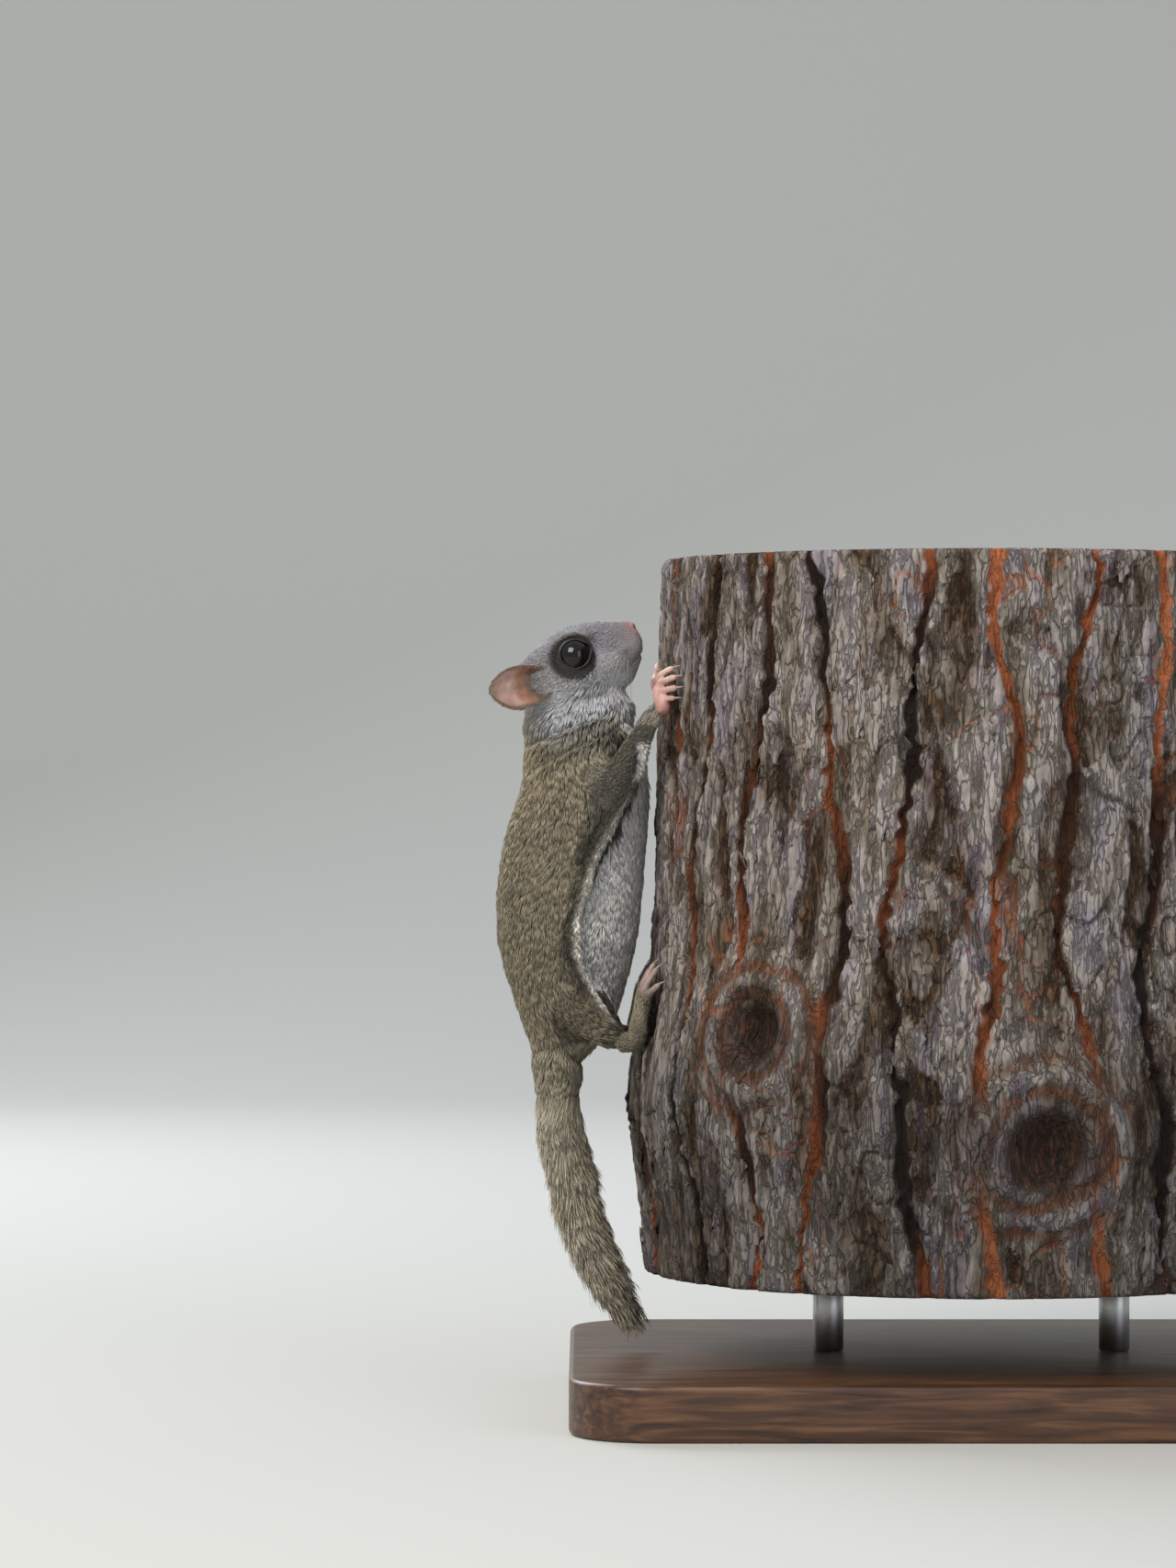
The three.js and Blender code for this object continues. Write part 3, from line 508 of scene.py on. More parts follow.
# %% Guides of the limbs and the body
def limb_guides(side):
    """Guides of the arm, hand, leg, foot and gliding fold on one side."""
    wrist = on_trunk(-side * WRIST_ANGLE, WRIST_Z + REACH[side], 3.4)
    ankle = on_trunk(-side * ANKLE_ANGLE, ANKLE_Z, 3.6)
    knuckle = on_trunk(-side * 0.27, WRIST_Z + REACH[side] + 8.5, 3.0)
    toes = on_trunk(-side * TOE_ANGLE, 128.0, 3.0)
    name = "right" if side < 0 else "left"
    raised = REACH[side] * np.linspace(1, 0, len(MEMBRANE_RIM))[:, None] ** 3
    rim = MEMBRANE_RIM * (1, side, 1) + np.array([0, 0, 1]) * raised
    return {
        f"arm_{name}": [(-111.5, side * 11.6, 185.4, 7.4), (-107, side * 16.4, 182, 5.6),
                        (-102.6, side * 20.4, 187.5, 4.5), (-97.2, side * 25, 197, 3.5), (*wrist, 2.6)],
        f"hand_{name}": [(*wrist, 2.4), (*knuckle, 4.0)],
        f"leg_{name}": [(-119, side * 8, 121.5, 11), (-112, side * 16.4, 115.6, 8), (*ankle, 3.6)],
        f"foot_{name}": [(*ankle, 3.2), (*toes, 5.0)],
        f"fold_{name}": [(*(p - (3.2, side * 0.6, 0)), 2.6) for p in rim[1:-1]],
    }


GUIDES = {
    "head": [(*on_head(0, 0), 4.0), (*on_head(12, 0), 10.5), (*on_head(24, 0), 12.0),
             (*on_head(36, -1), 9.0)],
    "body": [(-112, 0, 206, 11.5), (-114, 0, 192, 17), (-115, 0, 172, 19.5), (-118, 0, 145, 21.5),
             (-118.6, 0, 125, 19), (-119.6, 0, 108, 11), (-121.5, 0, 98, 6)],
    "tail": [(x, 0, z, 4.6 * size) for x, z, size in TAIL_LINE],
    **limb_guides(-1), **limb_guides(1),
}
PARTS = list(GUIDES)
print(len(PARTS), "guides")

# %% Distance to the guides
BLEND_REACH = 1.6  # how far off its surface a part still turns its neighbour's coat


def guided(points):
    """For each point: its distance outside every part, and the lie that the nearest parts give it."""
    outside = np.empty((len(points), len(PARTS)))
    heading = np.empty((len(points), len(PARTS), 3))
    for column, part in enumerate(PARTS):
        chain = np.array(GUIDES[part], float)
        best = np.full(len(points), np.inf)
        for a, b in zip(chain[:-1], chain[1:]):
            run = b[:3] - a[:3]
            t = np.clip((points - a[:3]) @ run / (run @ run), 0, 1)
            gap = np.linalg.norm(points - a[:3] - t[:, None] * run, axis=1) - mix(a[3], b[3], t)
            nearer = gap < best
            best[nearer] = gap[nearer]
            heading[nearer, column] = unit(run)
        outside[:, column] = best
    weight = np.exp(-(outside - outside.min(1, keepdims=True)) / BLEND_REACH)
    lie = np.einsum("ij,ijk->ik", weight / weight.sum(1, keepdims=True), heading)
    return outside, lie


print("at the nose the coat heads", guided(NOSE[None])[1][0].round(2))

# %% [markdown]
# The body's flesh is one skin without seams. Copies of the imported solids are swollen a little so
# that neighbours overlap, remeshed into one even surface, smoothed where limbs join the body and
# then drawn in by the depth of the coat, because the solids reach to the tips of the hair.

# %% Body under the coat
COAT_DEPTH = {
    "head": 0.8, "body": 1.5, "tail": 1.2, "arm": 0.9, "hand": 0.5, "leg": 1.2, "foot": 0.6, "fold": 0.75,
}
FLESH = ["torso", "neck", "head", "arm_right", "arm_left", "leg_right", "leg_left",
         "membrane_right", "membrane_left"]
BODY_GRAIN, SKIN_GRAIN, PAW_GRAIN = 0.8, 0.52, 0.36  # sizes of the remeshed surface's quads


def packed_shape(node, swell=0.25):
    """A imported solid's points, merged and moved out along their normals, in millimetres."""
    solid = bmesh.new()
    solid.from_mesh(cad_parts[node].data)
    bmesh.ops.remove_doubles(solid, verts=solid.verts, dist=1e-6)
    solid.normal_update()
    points = np.array([v.co + v.normal * swell * MM for v in solid.verts]) / MM
    faces = np.array([[v.index for v in f.verts] for f in solid.faces])
    solid.free()
    return points, faces


def depth_at(points):
    """How deep the skin lies under the tips of the coat at each point."""
    kinds = [part.split("_")[0] for part in PARTS]
    return np.array([COAT_DEPTH[kind] for kind in kinds])[guided(points)[0].argmin(1)]


body_points, body_faces = fused([packed_shape(node) for node in FLESH], BODY_GRAIN)
everywhere = np.ones(len(body_points))
body_points = relaxed(body_points, body_faces, 0.6 * everywhere, 14)
drawn_in = depth_at(body_points)
drawn_in = relaxed(np.stack([drawn_in] * 3, 1), body_faces, 0.7 * everywhere, 6)[:, :1]
body_points = body_points - drawn_in * point_normals(body_points, body_faces)
print("body", len(body_points), "points")

# %% [markdown]
# The head gets the most care. Its loft follows a table of top, chin and half width from the nose
# back, at the depth of the skin. Whisker pads, cheeks and brows swell its sides, a ring of lid rims
# each eye, and the nose pad sits on the blunt end of the muzzle.

# %% Head under the coat
# distance back from the nose, height of the top, depth of the chin, half width
SKULL = [
    (-0.7, 3.0, 1.6, 1.9), (0.6, 5.0, 4.4, 3.5), (3.0, 6.8, 7.8, 4.9), (7.0, 9.2, 11.4, 6.8),
    (12.0, 11.2, 12.4, 8.6), (17.0, 12.2, 12.2, 10.8), (22.0, 12.0, 11.4, 12.5), (27.0, 11.0, 10.6, 12.9),
    (32.0, 9.8, 9.6, 11.8), (36.0, 8.0, 8.2, 8.8), (38.2, 5.0, 5.0, 4.8),
]
# distance back, height, reach and rise of each swelling
SWELLS = [(5.2, -2.8, 3.4, 1.5), (21.0, -6.0, 6.0, 0.9), (17.5, 7.6, 4.0, 0.7)]
EYE = {"along": 19.3, "rise": 3.2, "out": 8.3, "radius": 4.9, "aperture": 4.15}


def head_shape(rings=70, sides=80):
    """The head as a loft with rounded-off square rings and its swellings."""
    u = np.linspace(0, 1, rings)
    table = rows_at(SKULL, u)
    depth = COAT_DEPTH["head"] * smooth_step(-0.5, 5.0, table[:, 0])
    turn = 2 * np.pi * (np.arange(sides) + 0.5) / sides
    c, s = np.cos(turn), np.sin(turn)
    y = (table[:, 3] - depth)[:, None] * np.sign(c) * np.abs(c) ** 0.92
    high = np.where(s > 0, (table[:, 1] - depth)[:, None], (table[:, 2] - depth)[:, None])
    rise = high * np.sign(s) * np.abs(s) ** 0.92
    for along, at, reach, out in SWELLS:
        away = np.hypot(table[:, :1] - along, rise - at)
        y = y + np.sign(y) * out * bell(away, reach)
    rings = NOSE + table[:, :1, None] * BACKWARD + rise[..., None] * CROWNWARD
    rings[..., 1] += y
    return loft(rings)


print("skull of", len(SKULL), "stations and", len(SWELLS), "swellings")


# %% [markdown]
# The eye of this animal bulges from the side of its head and looks a little forward and up. A round
# hole would look cut out, so a thin almond ring of lid follows the ball and draws out to a corner.

# %% Place of the eye and its lids
LID_STEPS, LID_SIDES, LID_THICK = 48, 12, 0.42  # points round the eye, points round the rim, its radius


def eye_frame(side):
    """Centre of an eye and the way it looks."""
    centre = on_head(EYE["along"], EYE["rise"], side * EYE["out"])
    axis = unit(np.array([0, side, 0]) - 0.14 * BACKWARD + 0.12 * CROWNWARD)
    return centre, axis


def lid_ring(side):
    """An almond ring round the eye, with its corner drawn out towards the nose."""
    centre, axis = eye_frame(side)
    forward = unit(-BACKWARD - axis * (-BACKWARD @ axis))
    up = np.cross(axis, forward) * (1 if np.cross(axis, forward) @ CROWNWARD > 0 else -1)
    a = np.linspace(0, 2 * np.pi, LID_STEPS, endpoint=False)
    b = np.linspace(0, 2 * np.pi, LID_SIDES, endpoint=False)
    corner = 0.9 * bell(np.arctan2(np.sin(a), np.cos(a)), 0.3)
    around = np.cos(a)[:, None] * forward + 0.95 * np.sin(a)[:, None] * up
    reach = (EYE["aperture"] + 0.4 + corner)[:, None]
    middle = centre + around * reach + axis * (2.55 - 0.5 * corner)[:, None]
    ring = np.cos(b)[None, :, None] * around[:, None] + np.sin(b)[None, :, None] * axis
    points = (middle[:, None] + LID_THICK * ring).reshape(-1, 3)
    i, j = np.meshgrid(np.arange(LID_STEPS), np.arange(LID_SIDES), indexing="ij")
    here, ahead = i * LID_SIDES, (i + 1) % LID_STEPS * LID_SIDES
    turned = (j + 1) % LID_SIDES
    q = np.stack([k.ravel() for k in (here + j, ahead + j, ahead + turned, here + turned)], 1)
    return points, np.vstack([q[:, [0, 1, 2]], q[:, [0, 2, 3]]])


print("the right eye is at", eye_frame(-1)[0].round(1), "mm")


# %% [markdown]
# The tail is flat like a feather, but only because of its hair: inside is a thin round core. The core
# is lofted along the tail's line and thins fast, and long locks make up the width.

# %% Tail core and one flesh
def tail_core():
    """The thin core under the tail's hair."""
    u = np.linspace(0, 1, 40)
    share = mix(0.97, 0.45, smooth_step(0.02, 0.42, u))[:, None, None]
    table = rows_at(TAIL_LINE, u)
    centre = np.stack([table[:, 0], 0 * u, table[:, 1]], 1)
    along = unit(np.gradient(centre, axis=0))
    out = np.cross([0.0, 1.0, 0.0], along)
    turn = 2 * np.pi * np.arange(20) / 20
    size = share * table[:, 2, None, None]
    ring = np.cos(turn)[None, :, None] * np.array([0, TAIL_WIDE, 0]) * size
    return loft(centre[:, None] + ring + np.sin(turn)[None, :, None] * out[:, None] * TAIL_THICK * size)


def triangles_of(faces):
    """Quads parted into triangles; triangles are left as they are."""
    if faces.shape[1] == 3:
        return faces
    return np.vstack([faces[:, [0, 1, 2]], faces[:, [0, 2, 3]]])


nose_line = [(*on_head(1.6, 2.7), 1.7), (*on_head(0.4, 2.8), 2.0), (*on_head(-0.7, 2.6), 1.5)]
head_parts = [head_shape(), limb(nose_line, flat=1.15), tail_core()]
flesh_points, flesh_faces = fused([(body_points, triangles_of(body_faces)), *head_parts], SKIN_GRAIN)
print("skin with the head and tail", len(flesh_points), "points")

# %% [markdown]
# The remeshed skin is parted into triangles and thinned where the body is plain, so that the points
# are spent on the head. A few soft passes melt the cheeks into the neck. The line of the mouth,
# the split under the nose and the hollow before the eye are then pressed in.

# %% One skin
SKIN_TRIANGLES = 128000


def thinned(points, faces, wanted, keep):
    """Fewer triangles, with points of high `keep` (0 to 1) thinned least."""
    rough = object_from("rough", mesh_from("rough", points, faces))
    group = rough.vertex_groups.new(name="plain")
    for level in range(1, 6):
        near = np.flatnonzero(np.round((1 - keep) * 5) == level)
        group.add(near.tolist(), level / 5, "REPLACE")
    thin = rough.modifiers.new("thin", "DECIMATE")
    thin.ratio = min(1.0, wanted / len(faces))
    thin.vertex_group = "plain"
    return applied(rough)


along, rise, _ = head_place(flesh_points)
on_the_head = 1 - smooth_step(26, 36, along)
melt = bell(along - 33, 7) + 0.25
flesh_points = relaxed(flesh_points, flesh_faces, 0.6 * np.clip(melt, 0, 1), 16)
flesh_faces = triangles_of(flesh_faces)
flesh_points, flesh_faces = thinned(flesh_points, flesh_faces, SKIN_TRIANGLES, on_the_head)

print("thinned to", len(flesh_faces), "triangles")

# %% [markdown]
# The mouth of a squirrel is a fine line under its nose, and the coat folds where cheek meets neck.
# Sculpting by hand could not be repeated, so each feature is a distance from a line or a point that
# is turned into a depth.

# %% Relief of the face
# lines of x and z where the coat parts behind the cheek, each with its depth
NECK_CREASES = [
    ([(-131.2, 194.8), (-119.6, 199.1), (-108.5, 202.6), (-104.2, 206.4)], 1.3),
    ([(-126.0, 190.0), (-117.0, 194.0), (-108.0, 197.6), (-101.6, 202.6)], 0.9),
]
MOUTH = [(-2.0, -4.6), (2.7, -5.6), (5.3, -6.7), (9.4, -7.4)]


def groove(along, rise, line, half):
    """How deep in a groove each point lies, 1 on the line and 0 outside it."""
    gap = np.full(len(along), np.inf)
    for (a0, r0), (a1, r1) in zip(line[:-1], line[1:]):
        run = np.array([a1 - a0, r1 - r0])
        t = np.clip(((along - a0) * run[0] + (rise - r0) * run[1]) / (run @ run), 0, 1)
        gap = np.minimum(gap, np.hypot(along - a0 - t * run[0], rise - r0 - t * run[1]))
    return bell(gap, half)


def face_relief(points):
    """Depth in millimetres by which features of the face are pressed into the skin."""
    along, rise, y = head_place(points)
    depth = 0.5 * groove(along, rise, MOUTH, 0.45) * (1 - smooth_step(9, 11, along))
    under_nose = smooth_step(-5.0, -3.6, rise) * (rise < 0.8) * (along < 1.5)
    depth += 0.5 * bell(y, 0.45) * under_nose
    nostril = np.sqrt((along + 0.7) ** 2 + (rise - 2.2) ** 2 + (np.abs(y) - 1.35) ** 2)
    depth += 1.0 * bell(nostril, 0.7)
    hollow = np.hypot(along - 12.6, rise - 2.6)
    depth += 0.7 * bell(hollow, 2.6) * smooth_step(3, 5, np.abs(y))
    for line, deep in NECK_CREASES:
        depth += deep * groove(points[:, 0], points[:, 2], line, 0.9) * smooth_step(4, 9, np.abs(y))
    return depth


pressed = face_relief(flesh_points)[:, None] * point_normals(flesh_points, flesh_faces)
flesh_points = flesh_points - pressed
print("deepest relief", round(float(np.abs(pressed).max()), 2), "mm")

# %% [markdown]
# Hands and feet are bare enough to show every digit. Each is a pad with four or five round lofts
# that arch off the bark and come down again at their tips, melted together at a fine grain.

# %% Paws
FINGERS = [
    # root and tip as (angle, height over the wrist), radius
    ((0.266, 7.4), (0.338, 11.6), 1.0), ((0.258, 5.6), (0.366, 9.0), 1.05),
    ((0.262, 3.8), (0.372, 5.8), 1.05), ((0.274, 2.2), (0.356, 2.8), 0.95),
]
# for each toe: how it spreads, as an angle, its length and how high its root is over the others
TOE_SPREAD = [-0.058, -0.03, 0.0, 0.028, 0.056]
TOE_LENGTH = [4.4, 6.4, 7.2, 6.6, 4.8]
TOE_ROOT = [-1.8, 1.2, 2.0, 1.4, -1.4]


def digit(path, radius):
    """A digit with a knuckle, a waist and a round pad before the claw."""
    def bulge(u):
        return 1 + 0.1 * bell(u - 0.42, 0.1) + 0.16 * bell(u - 0.86, 0.1)
    sizes = radius * np.array([1.0, 1.0, 0.9, 0.72])
    return limb([(*p, r) for p, r in zip(path, sizes)], sides=12, steps=22, shape=bulge)


def claw(path, length=2.3, radius=0.5):
    """A curved cone that goes on from a digit's last run and bends down to the bark."""
    end = np.array(path[-1])
    ahead = unit(end - np.array(path[-2]))
    inward = unit(np.array([-end[0], -end[1], 0.0]))
    u = np.linspace(0, 1, 9)[:, None]
    hook = 0.9 * (np.sin(u * 2.4) - 1.1 * (1 - u) * u - 0.35)
    line = end - 0.5 * ahead + ahead * length * u + inward * hook
    stations = np.hstack([line, mix(radius, 0.1, u ** 0.8)])
    return limb(stations, sides=10, steps=12)


print("toes are", min(TOE_LENGTH), "to", max(TOE_LENGTH), "mm long")


# %% Paths of fingers and toes
def finger_path(side, finger):
    """Points along a finger, arched off the bark."""
    (root_angle, root_z), (tip_angle, tip_z), _ = FINGERS[finger]
    z = WRIST_Z + REACH[side]
    steps = [(0, 3.4), (0.3, 4.1), (0.72, 2.9), (1, 1.35)]
    return [on_trunk(-side * mix(root_angle, tip_angle, t), z + mix(root_z, tip_z, t ** 0.8), lift)
            for t, lift in steps]


def thumb_path(side):
    """Points along the small thumb pad."""
    z = WRIST_Z + REACH[side]
    steps = [(0.3, 2, 2.6), (0.31, 2.6, 2.4), (0.32, 3, 2.0), (0.328, 3.3, 1.5)]
    return [on_trunk(-side * angle, z + up, lift) for angle, up, lift in steps]


def toe_path(side, toe):
    """Points along a toe, arched off the bark."""
    spread, length, low = TOE_SPREAD[toe], TOE_LENGTH[toe], TOE_ROOT[toe]
    root = 0.252 + 0.42 * spread
    steps = [(0, -1.5, 3.1), (0.25, 0.24 * length, 3.5), (0.66, 0.66 * length, 2.5), (1, length, 1.4)]
    return [on_trunk(-side * (root + share * spread), TOES_Z + low + up, lift) for share, up, lift in steps]


print("the second finger ends at", np.round(finger_path(-1, 1)[-1], 1), "mm")


# %% Hands and feet
def hand(side):
    """The palm, fingers and thumb pad of one hand, not yet joined."""
    z = WRIST_Z + REACH[side]
    palm = [on_trunk(-side * a, z + up, lift) for a, up, lift in
            [(WRIST_ANGLE, -2, 3.4), (0.304, 1.2, 3.5), (0.282, 4.2, 3.4), (0.272, 7, 3.1)]]
    shapes = [limb([(*p, r) for p, r in zip(palm, (2.1, 2.2, 2.6, 2.1))], flat=1.2)]
    shapes += [digit(finger_path(side, k), FINGERS[k][2]) for k in range(4)]
    return shapes + [digit(thumb_path(side), 0.8)]


def foot(side):
    """The sole and toes of one foot, not yet joined."""
    sole = [(-104.6, side * 22.8, 107.6)]
    sole += [on_trunk(-side * a, z, lift) for a, z, lift in
             [(ANKLE_ANGLE, 108.4, 3.5), (0.244, 115, 3.2), (0.25, 121.5, 3.2), (TOE_ANGLE, 125, 3.0)]]
    shapes = [limb([(*p, r) for p, r in zip(sole, (2.7, 2.7, 2.2, 2.3, 1.8))], flat=1.25)]
    return shapes + [digit(toe_path(side, k), 1.02) for k in range(5)]


paws = []
for side in (-1, 1):
    for shapes in (hand(side), foot(side)):
        points, faces = fused(shapes, PAW_GRAIN)
        points = relaxed(points, faces, np.full(len(points), 0.5), 3)
        paws.append((points, triangles_of(faces)))
print("paws", sum(len(faces) for _, faces in paws), "triangles")

# %% [markdown]
# An ear is a thin leaf, rolled at its root and open to the side. Inner and outer face are two
# sheets with a bead of skin between them, closed all round like the real pinna.

# %% Ears
EAR_ROOT = (28.6, 0.4, 9.2)
EAR_TIP = np.array([-141.2, 14.8, 209.8])
EAR_HALF = 6.5
EAR_RINGS, EAR_SIDES = 44, 60


def ear(side):
    """One ear as a closed leaf: v runs across it and u from its root to its tip."""
    root = on_head(*EAR_ROOT[:2], side * EAR_ROOT[2])
    tip = EAR_TIP * (1, side, 1)
    axis = unit(tip - root)
    out = unit(np.array([0.0, side, 0.0]) - axis * side * axis[1])
    upper = np.cross(out, axis) * (1 if np.cross(out, axis)[2] > 0 else -1)
    u = np.linspace(0, 1, EAR_RINGS)[:, None]
    turn = 2 * np.pi * np.arange(EAR_SIDES) / EAR_SIDES
    v = np.cos(turn)[None]
    face = np.sin(turn)[None]
    swell = np.sin(np.pi * np.minimum(0.985, 0.2 + 0.79 * u) ** 1.2) ** 0.6
    half = EAR_HALF * swell * np.where(v < 0, 1.14, 0.94)
    roll = 0.30 * (1 - u) ** 2 * v ** 2
    cup = 3.3 * np.sin(np.pi * np.clip(0.16 + 0.8 * u, 0, 1)) * (1 - v * v) * (1 - 0.35 * u)
    rib = 0.22 * np.sin(v * 9 + u * 2) * (1 - v * v) * np.sin(np.pi * u)
    thick = (0.32 + 0.5 * (1 - u)) * face
    middle = root + u[..., None] * (tip - root) + upper * (v * half * (1 - roll))[..., None]
    rings = middle + out * (1.2 - cup + rib + thick + 1.1 * np.abs(v) ** 3 * (1 - u))[..., None]
    return loft(rings)


ears = [ear(-1), ear(1)]
# for each point of both ears, how near it is to the leaf's edge; each loft ends with two middle points
ring_edge = np.abs(np.cos(2 * np.pi * np.arange(EAR_SIDES) / EAR_SIDES))
ear_edge = np.tile(np.append(np.tile(ring_edge, EAR_RINGS), [0.5, 1.0]), 2)
lids = [lid_ring(-1), lid_ring(1)]
print("ears", len(ears[0][1]), "triangles each")

# %% [markdown]
# All these shells join in one skin. It is unwrapped once, and hairs later take their place on the
# unwrap from the skin at their roots. Each point is told which part of the body it belongs to.

# %% Skin object
shells = [(flesh_points, flesh_faces), *paws, *ears, *lids]
shell_kind = ["flesh"] + ["hand", "foot", "hand", "foot"] + ["ear"] * 2 + ["lid"] * 2
skin_points, skin_faces = gather(shells)
kind_of_point = np.repeat(shell_kind, [len(points) for points, _ in shells])
kind_of_face = np.repeat(shell_kind, [len(faces) for _, faces in shells])
skin_normals = point_normals(skin_points, skin_faces)
skin = object_from("squirrel_skin", mesh_from("squirrel_skin", skin_points, skin_faces))


def unwrapped(piece):
    """Unwraps a mesh by its own shape and returns a UV pair for each corner of each triangle."""
    bpy.context.view_layer.objects.active = piece
    piece.select_set(True)
    piece.data.uv_layers.new(name="OFBake")
    bpy.ops.object.mode_set(mode="EDIT")
    bpy.ops.mesh.select_all(action="SELECT")
    bpy.ops.uv.smart_project(angle_limit=1.15, island_margin=0.002)
    bpy.ops.object.mode_set(mode="OBJECT")
    piece.select_set(False)
    uv = np.empty(len(piece.data.loops) * 2, np.float32)
    piece.data.uv_layers["OFBake"].data.foreach_get("uv", uv)
    return uv.reshape(-1, 3, 2)


skin_uv = unwrapped(skin)
outside, skin_lie = guided(skin_points)
flesh_part = np.array([part.split("_")[0] for part in PARTS])[outside.argmin(1)]
part_of_face = np.where(kind_of_face == "flesh", flesh_part[skin_faces[:, 0]], kind_of_face)
print("skin", len(skin_faces), "triangles")

# %% [markdown]
# The markings are worked out once and used by the skin and by every hair that stands on it. The
# back is drab brown over slate roots, the edge of the gliding fold is cream in front of a sooty
# band, the belly is white, the head is grey and a black ring lies round the eye.

# %% Markings
# height, x of the fold's cream edge and of the rear edge of the sooty band
EDGES = np.array([
    (100, -112.0, -114.0), (111.4, -104.6, -106.0), (116.8, -107.2, -109.0), (123.8, -111.4, -115.6),
    (133.5, -114.9, -119.9), (143.0, -114.6, -119.4), (155.0, -111.3, -116.4), (164.0, -107.2, -114.2),
    (171.3, -103.2, -113.0), (178.8, -99.9, -111.6), (186.2, -97.6, -109.6), (193.0, -97.6, -107.0),
    (200.0, -102.4, -104.5), (206.0, -107.0, -108.5), (212.0, -112.0, -113.0),
])


def spot(a, b, centre, reach):
    """A soft oval spot, 1 at its centre."""
    return np.exp(-(((a - centre[0]) / reach[0]) ** 2) - ((b - centre[1]) / reach[1]) ** 2)


def rim_gap(points):
    """Distance to the free edge of the gliding fold, on either side."""
    folded = points * (1, 0, 1) + np.abs(points[:, 1:2]) * (0, 1, 0)
    best = np.full(len(points), np.inf)
    for a, b in zip(MEMBRANE_RIM[:-1], MEMBRANE_RIM[1:]):
        t = np.clip((folded - a) @ (b - a) / ((b - a) @ (b - a)), 0, 1)
        best = np.minimum(best, np.linalg.norm(folded - a - t[:, None] * (b - a), axis=1))
    return best


print("the pattern's edges run from", EDGES[0, 0], "to", EDGES[-1, 0], "mm up")


# %% [markdown]
# A hair has a dark root and a paler tip, and both change over the body. Each set of colours starts
# with the commonest tone, and tints are laid over it like thin washes, each with a weight for every
# point. This keeps all borders soft, as they are where differently coloured hairs mix.

# %% Markings of the body
def tinted(colours, weight, code):
    """Colours drawn towards a hex colour by a weight for each point."""
    return mix(colours, linear(code), np.clip(weight, 0, 1)[:, None])


def layered(colours, washes):
    """Lays washes over colours, one after the other; each is a weight and a hex colour."""
    for weight, code in washes:
        colours = tinted(colours, weight, code)
    return colours


def body_markings(points, normals, part):
    """Colours of hair tips and roots on the body, before the head and tail are told apart."""
    x, y, z = points.T
    wide = np.abs(y)
    ragged = 0.8 * noise(points, 3.1, 4) + 0.5 * noise(points, 1.2, 5)
    edge = np.interp(z, EDGES[:, 0], EDGES[:, 1]) + ragged
    band = np.interp(z, EDGES[:, 0], EDGES[:, 2]) + 2 * ragged
    inner = smooth_step(-0.2, 0.5, -np.sign(y) * normals[:, 1]) * (wide > 12)
    below = np.maximum(smooth_step(-1.6, 0.2, x - edge), inner * smooth_step(-8, -3, x - edge))
    limb_outside = np.isin(part, ["arm", "leg"]) * smooth_step(-0.35, 0.1, np.sign(y) * normals[:, 1])
    below = below * (1 - limb_outside)
    sooty = smooth_step(-2.6, 2.2, x - band) * smooth_step(6, 12, wide) * (z > 104) * (z < 199)
    # painted shade: the coat is darkened along the two creases behind the cheek, where the fur folds
    shaded_creases = [groove(x, z, line, 1.0) * smooth_step(4, 9, wide) for line, _ in NECK_CREASES]
    rim = bell(rim_gap(points), mix(1.8, 0.8, smooth_step(168, 184, z))) * (z > 113)
    tips = layered(linear("#ada187"), [
        (0.5 + 0.5 * noise(points, 7.0, 1), "#958b76"),
        (0.75 * smooth_step(172, 196, z) * smooth_step(-0.2, 0.8, -normals[:, 0]), "#bfb193"),
        (0.7 * smooth_step(186, 202, z) * smooth_step(0.2, 0.8, np.abs(normals[:, 1])), "#a9a69b"),
        (0.5 * spot(x, z, (-113.0, 112.0), (6.0, 6.0)), "#bcae8b"),
        (0.92 * sooty, "#38362e"),
        # painted shade along the creases behind the cheek
        *[(0.55 * shade_in_crease, "#4a463b") for shade_in_crease in shaded_creases],
        (below, "#eae9e6"),
        (0.8 * (part == "arm") * (1 - below) * (1 - 0.6 * sooty), "#aaa392"),
        (0.75 * (part == "leg") * (1 - below), "#5f5947"),
        (rim, "#fbf5ea"),
    ])
    roots = layered(linear("#4f493c"), [
        (0.4 * (noise(points, 5, 2) + 1), "#5d5646"),
        (sooty, "#1d1b16"),
        # painted shade along the creases, on the roots as well
        *[(shade_in_crease, "#26231d") for shade_in_crease in shaded_creases],
        (0.9 * below, "#b3b2af"),
        (rim, "#d3cbbb"),
    ])
    return tips, roots


print("body colours ready,", len(NECK_CREASES), "creases behind the cheek")


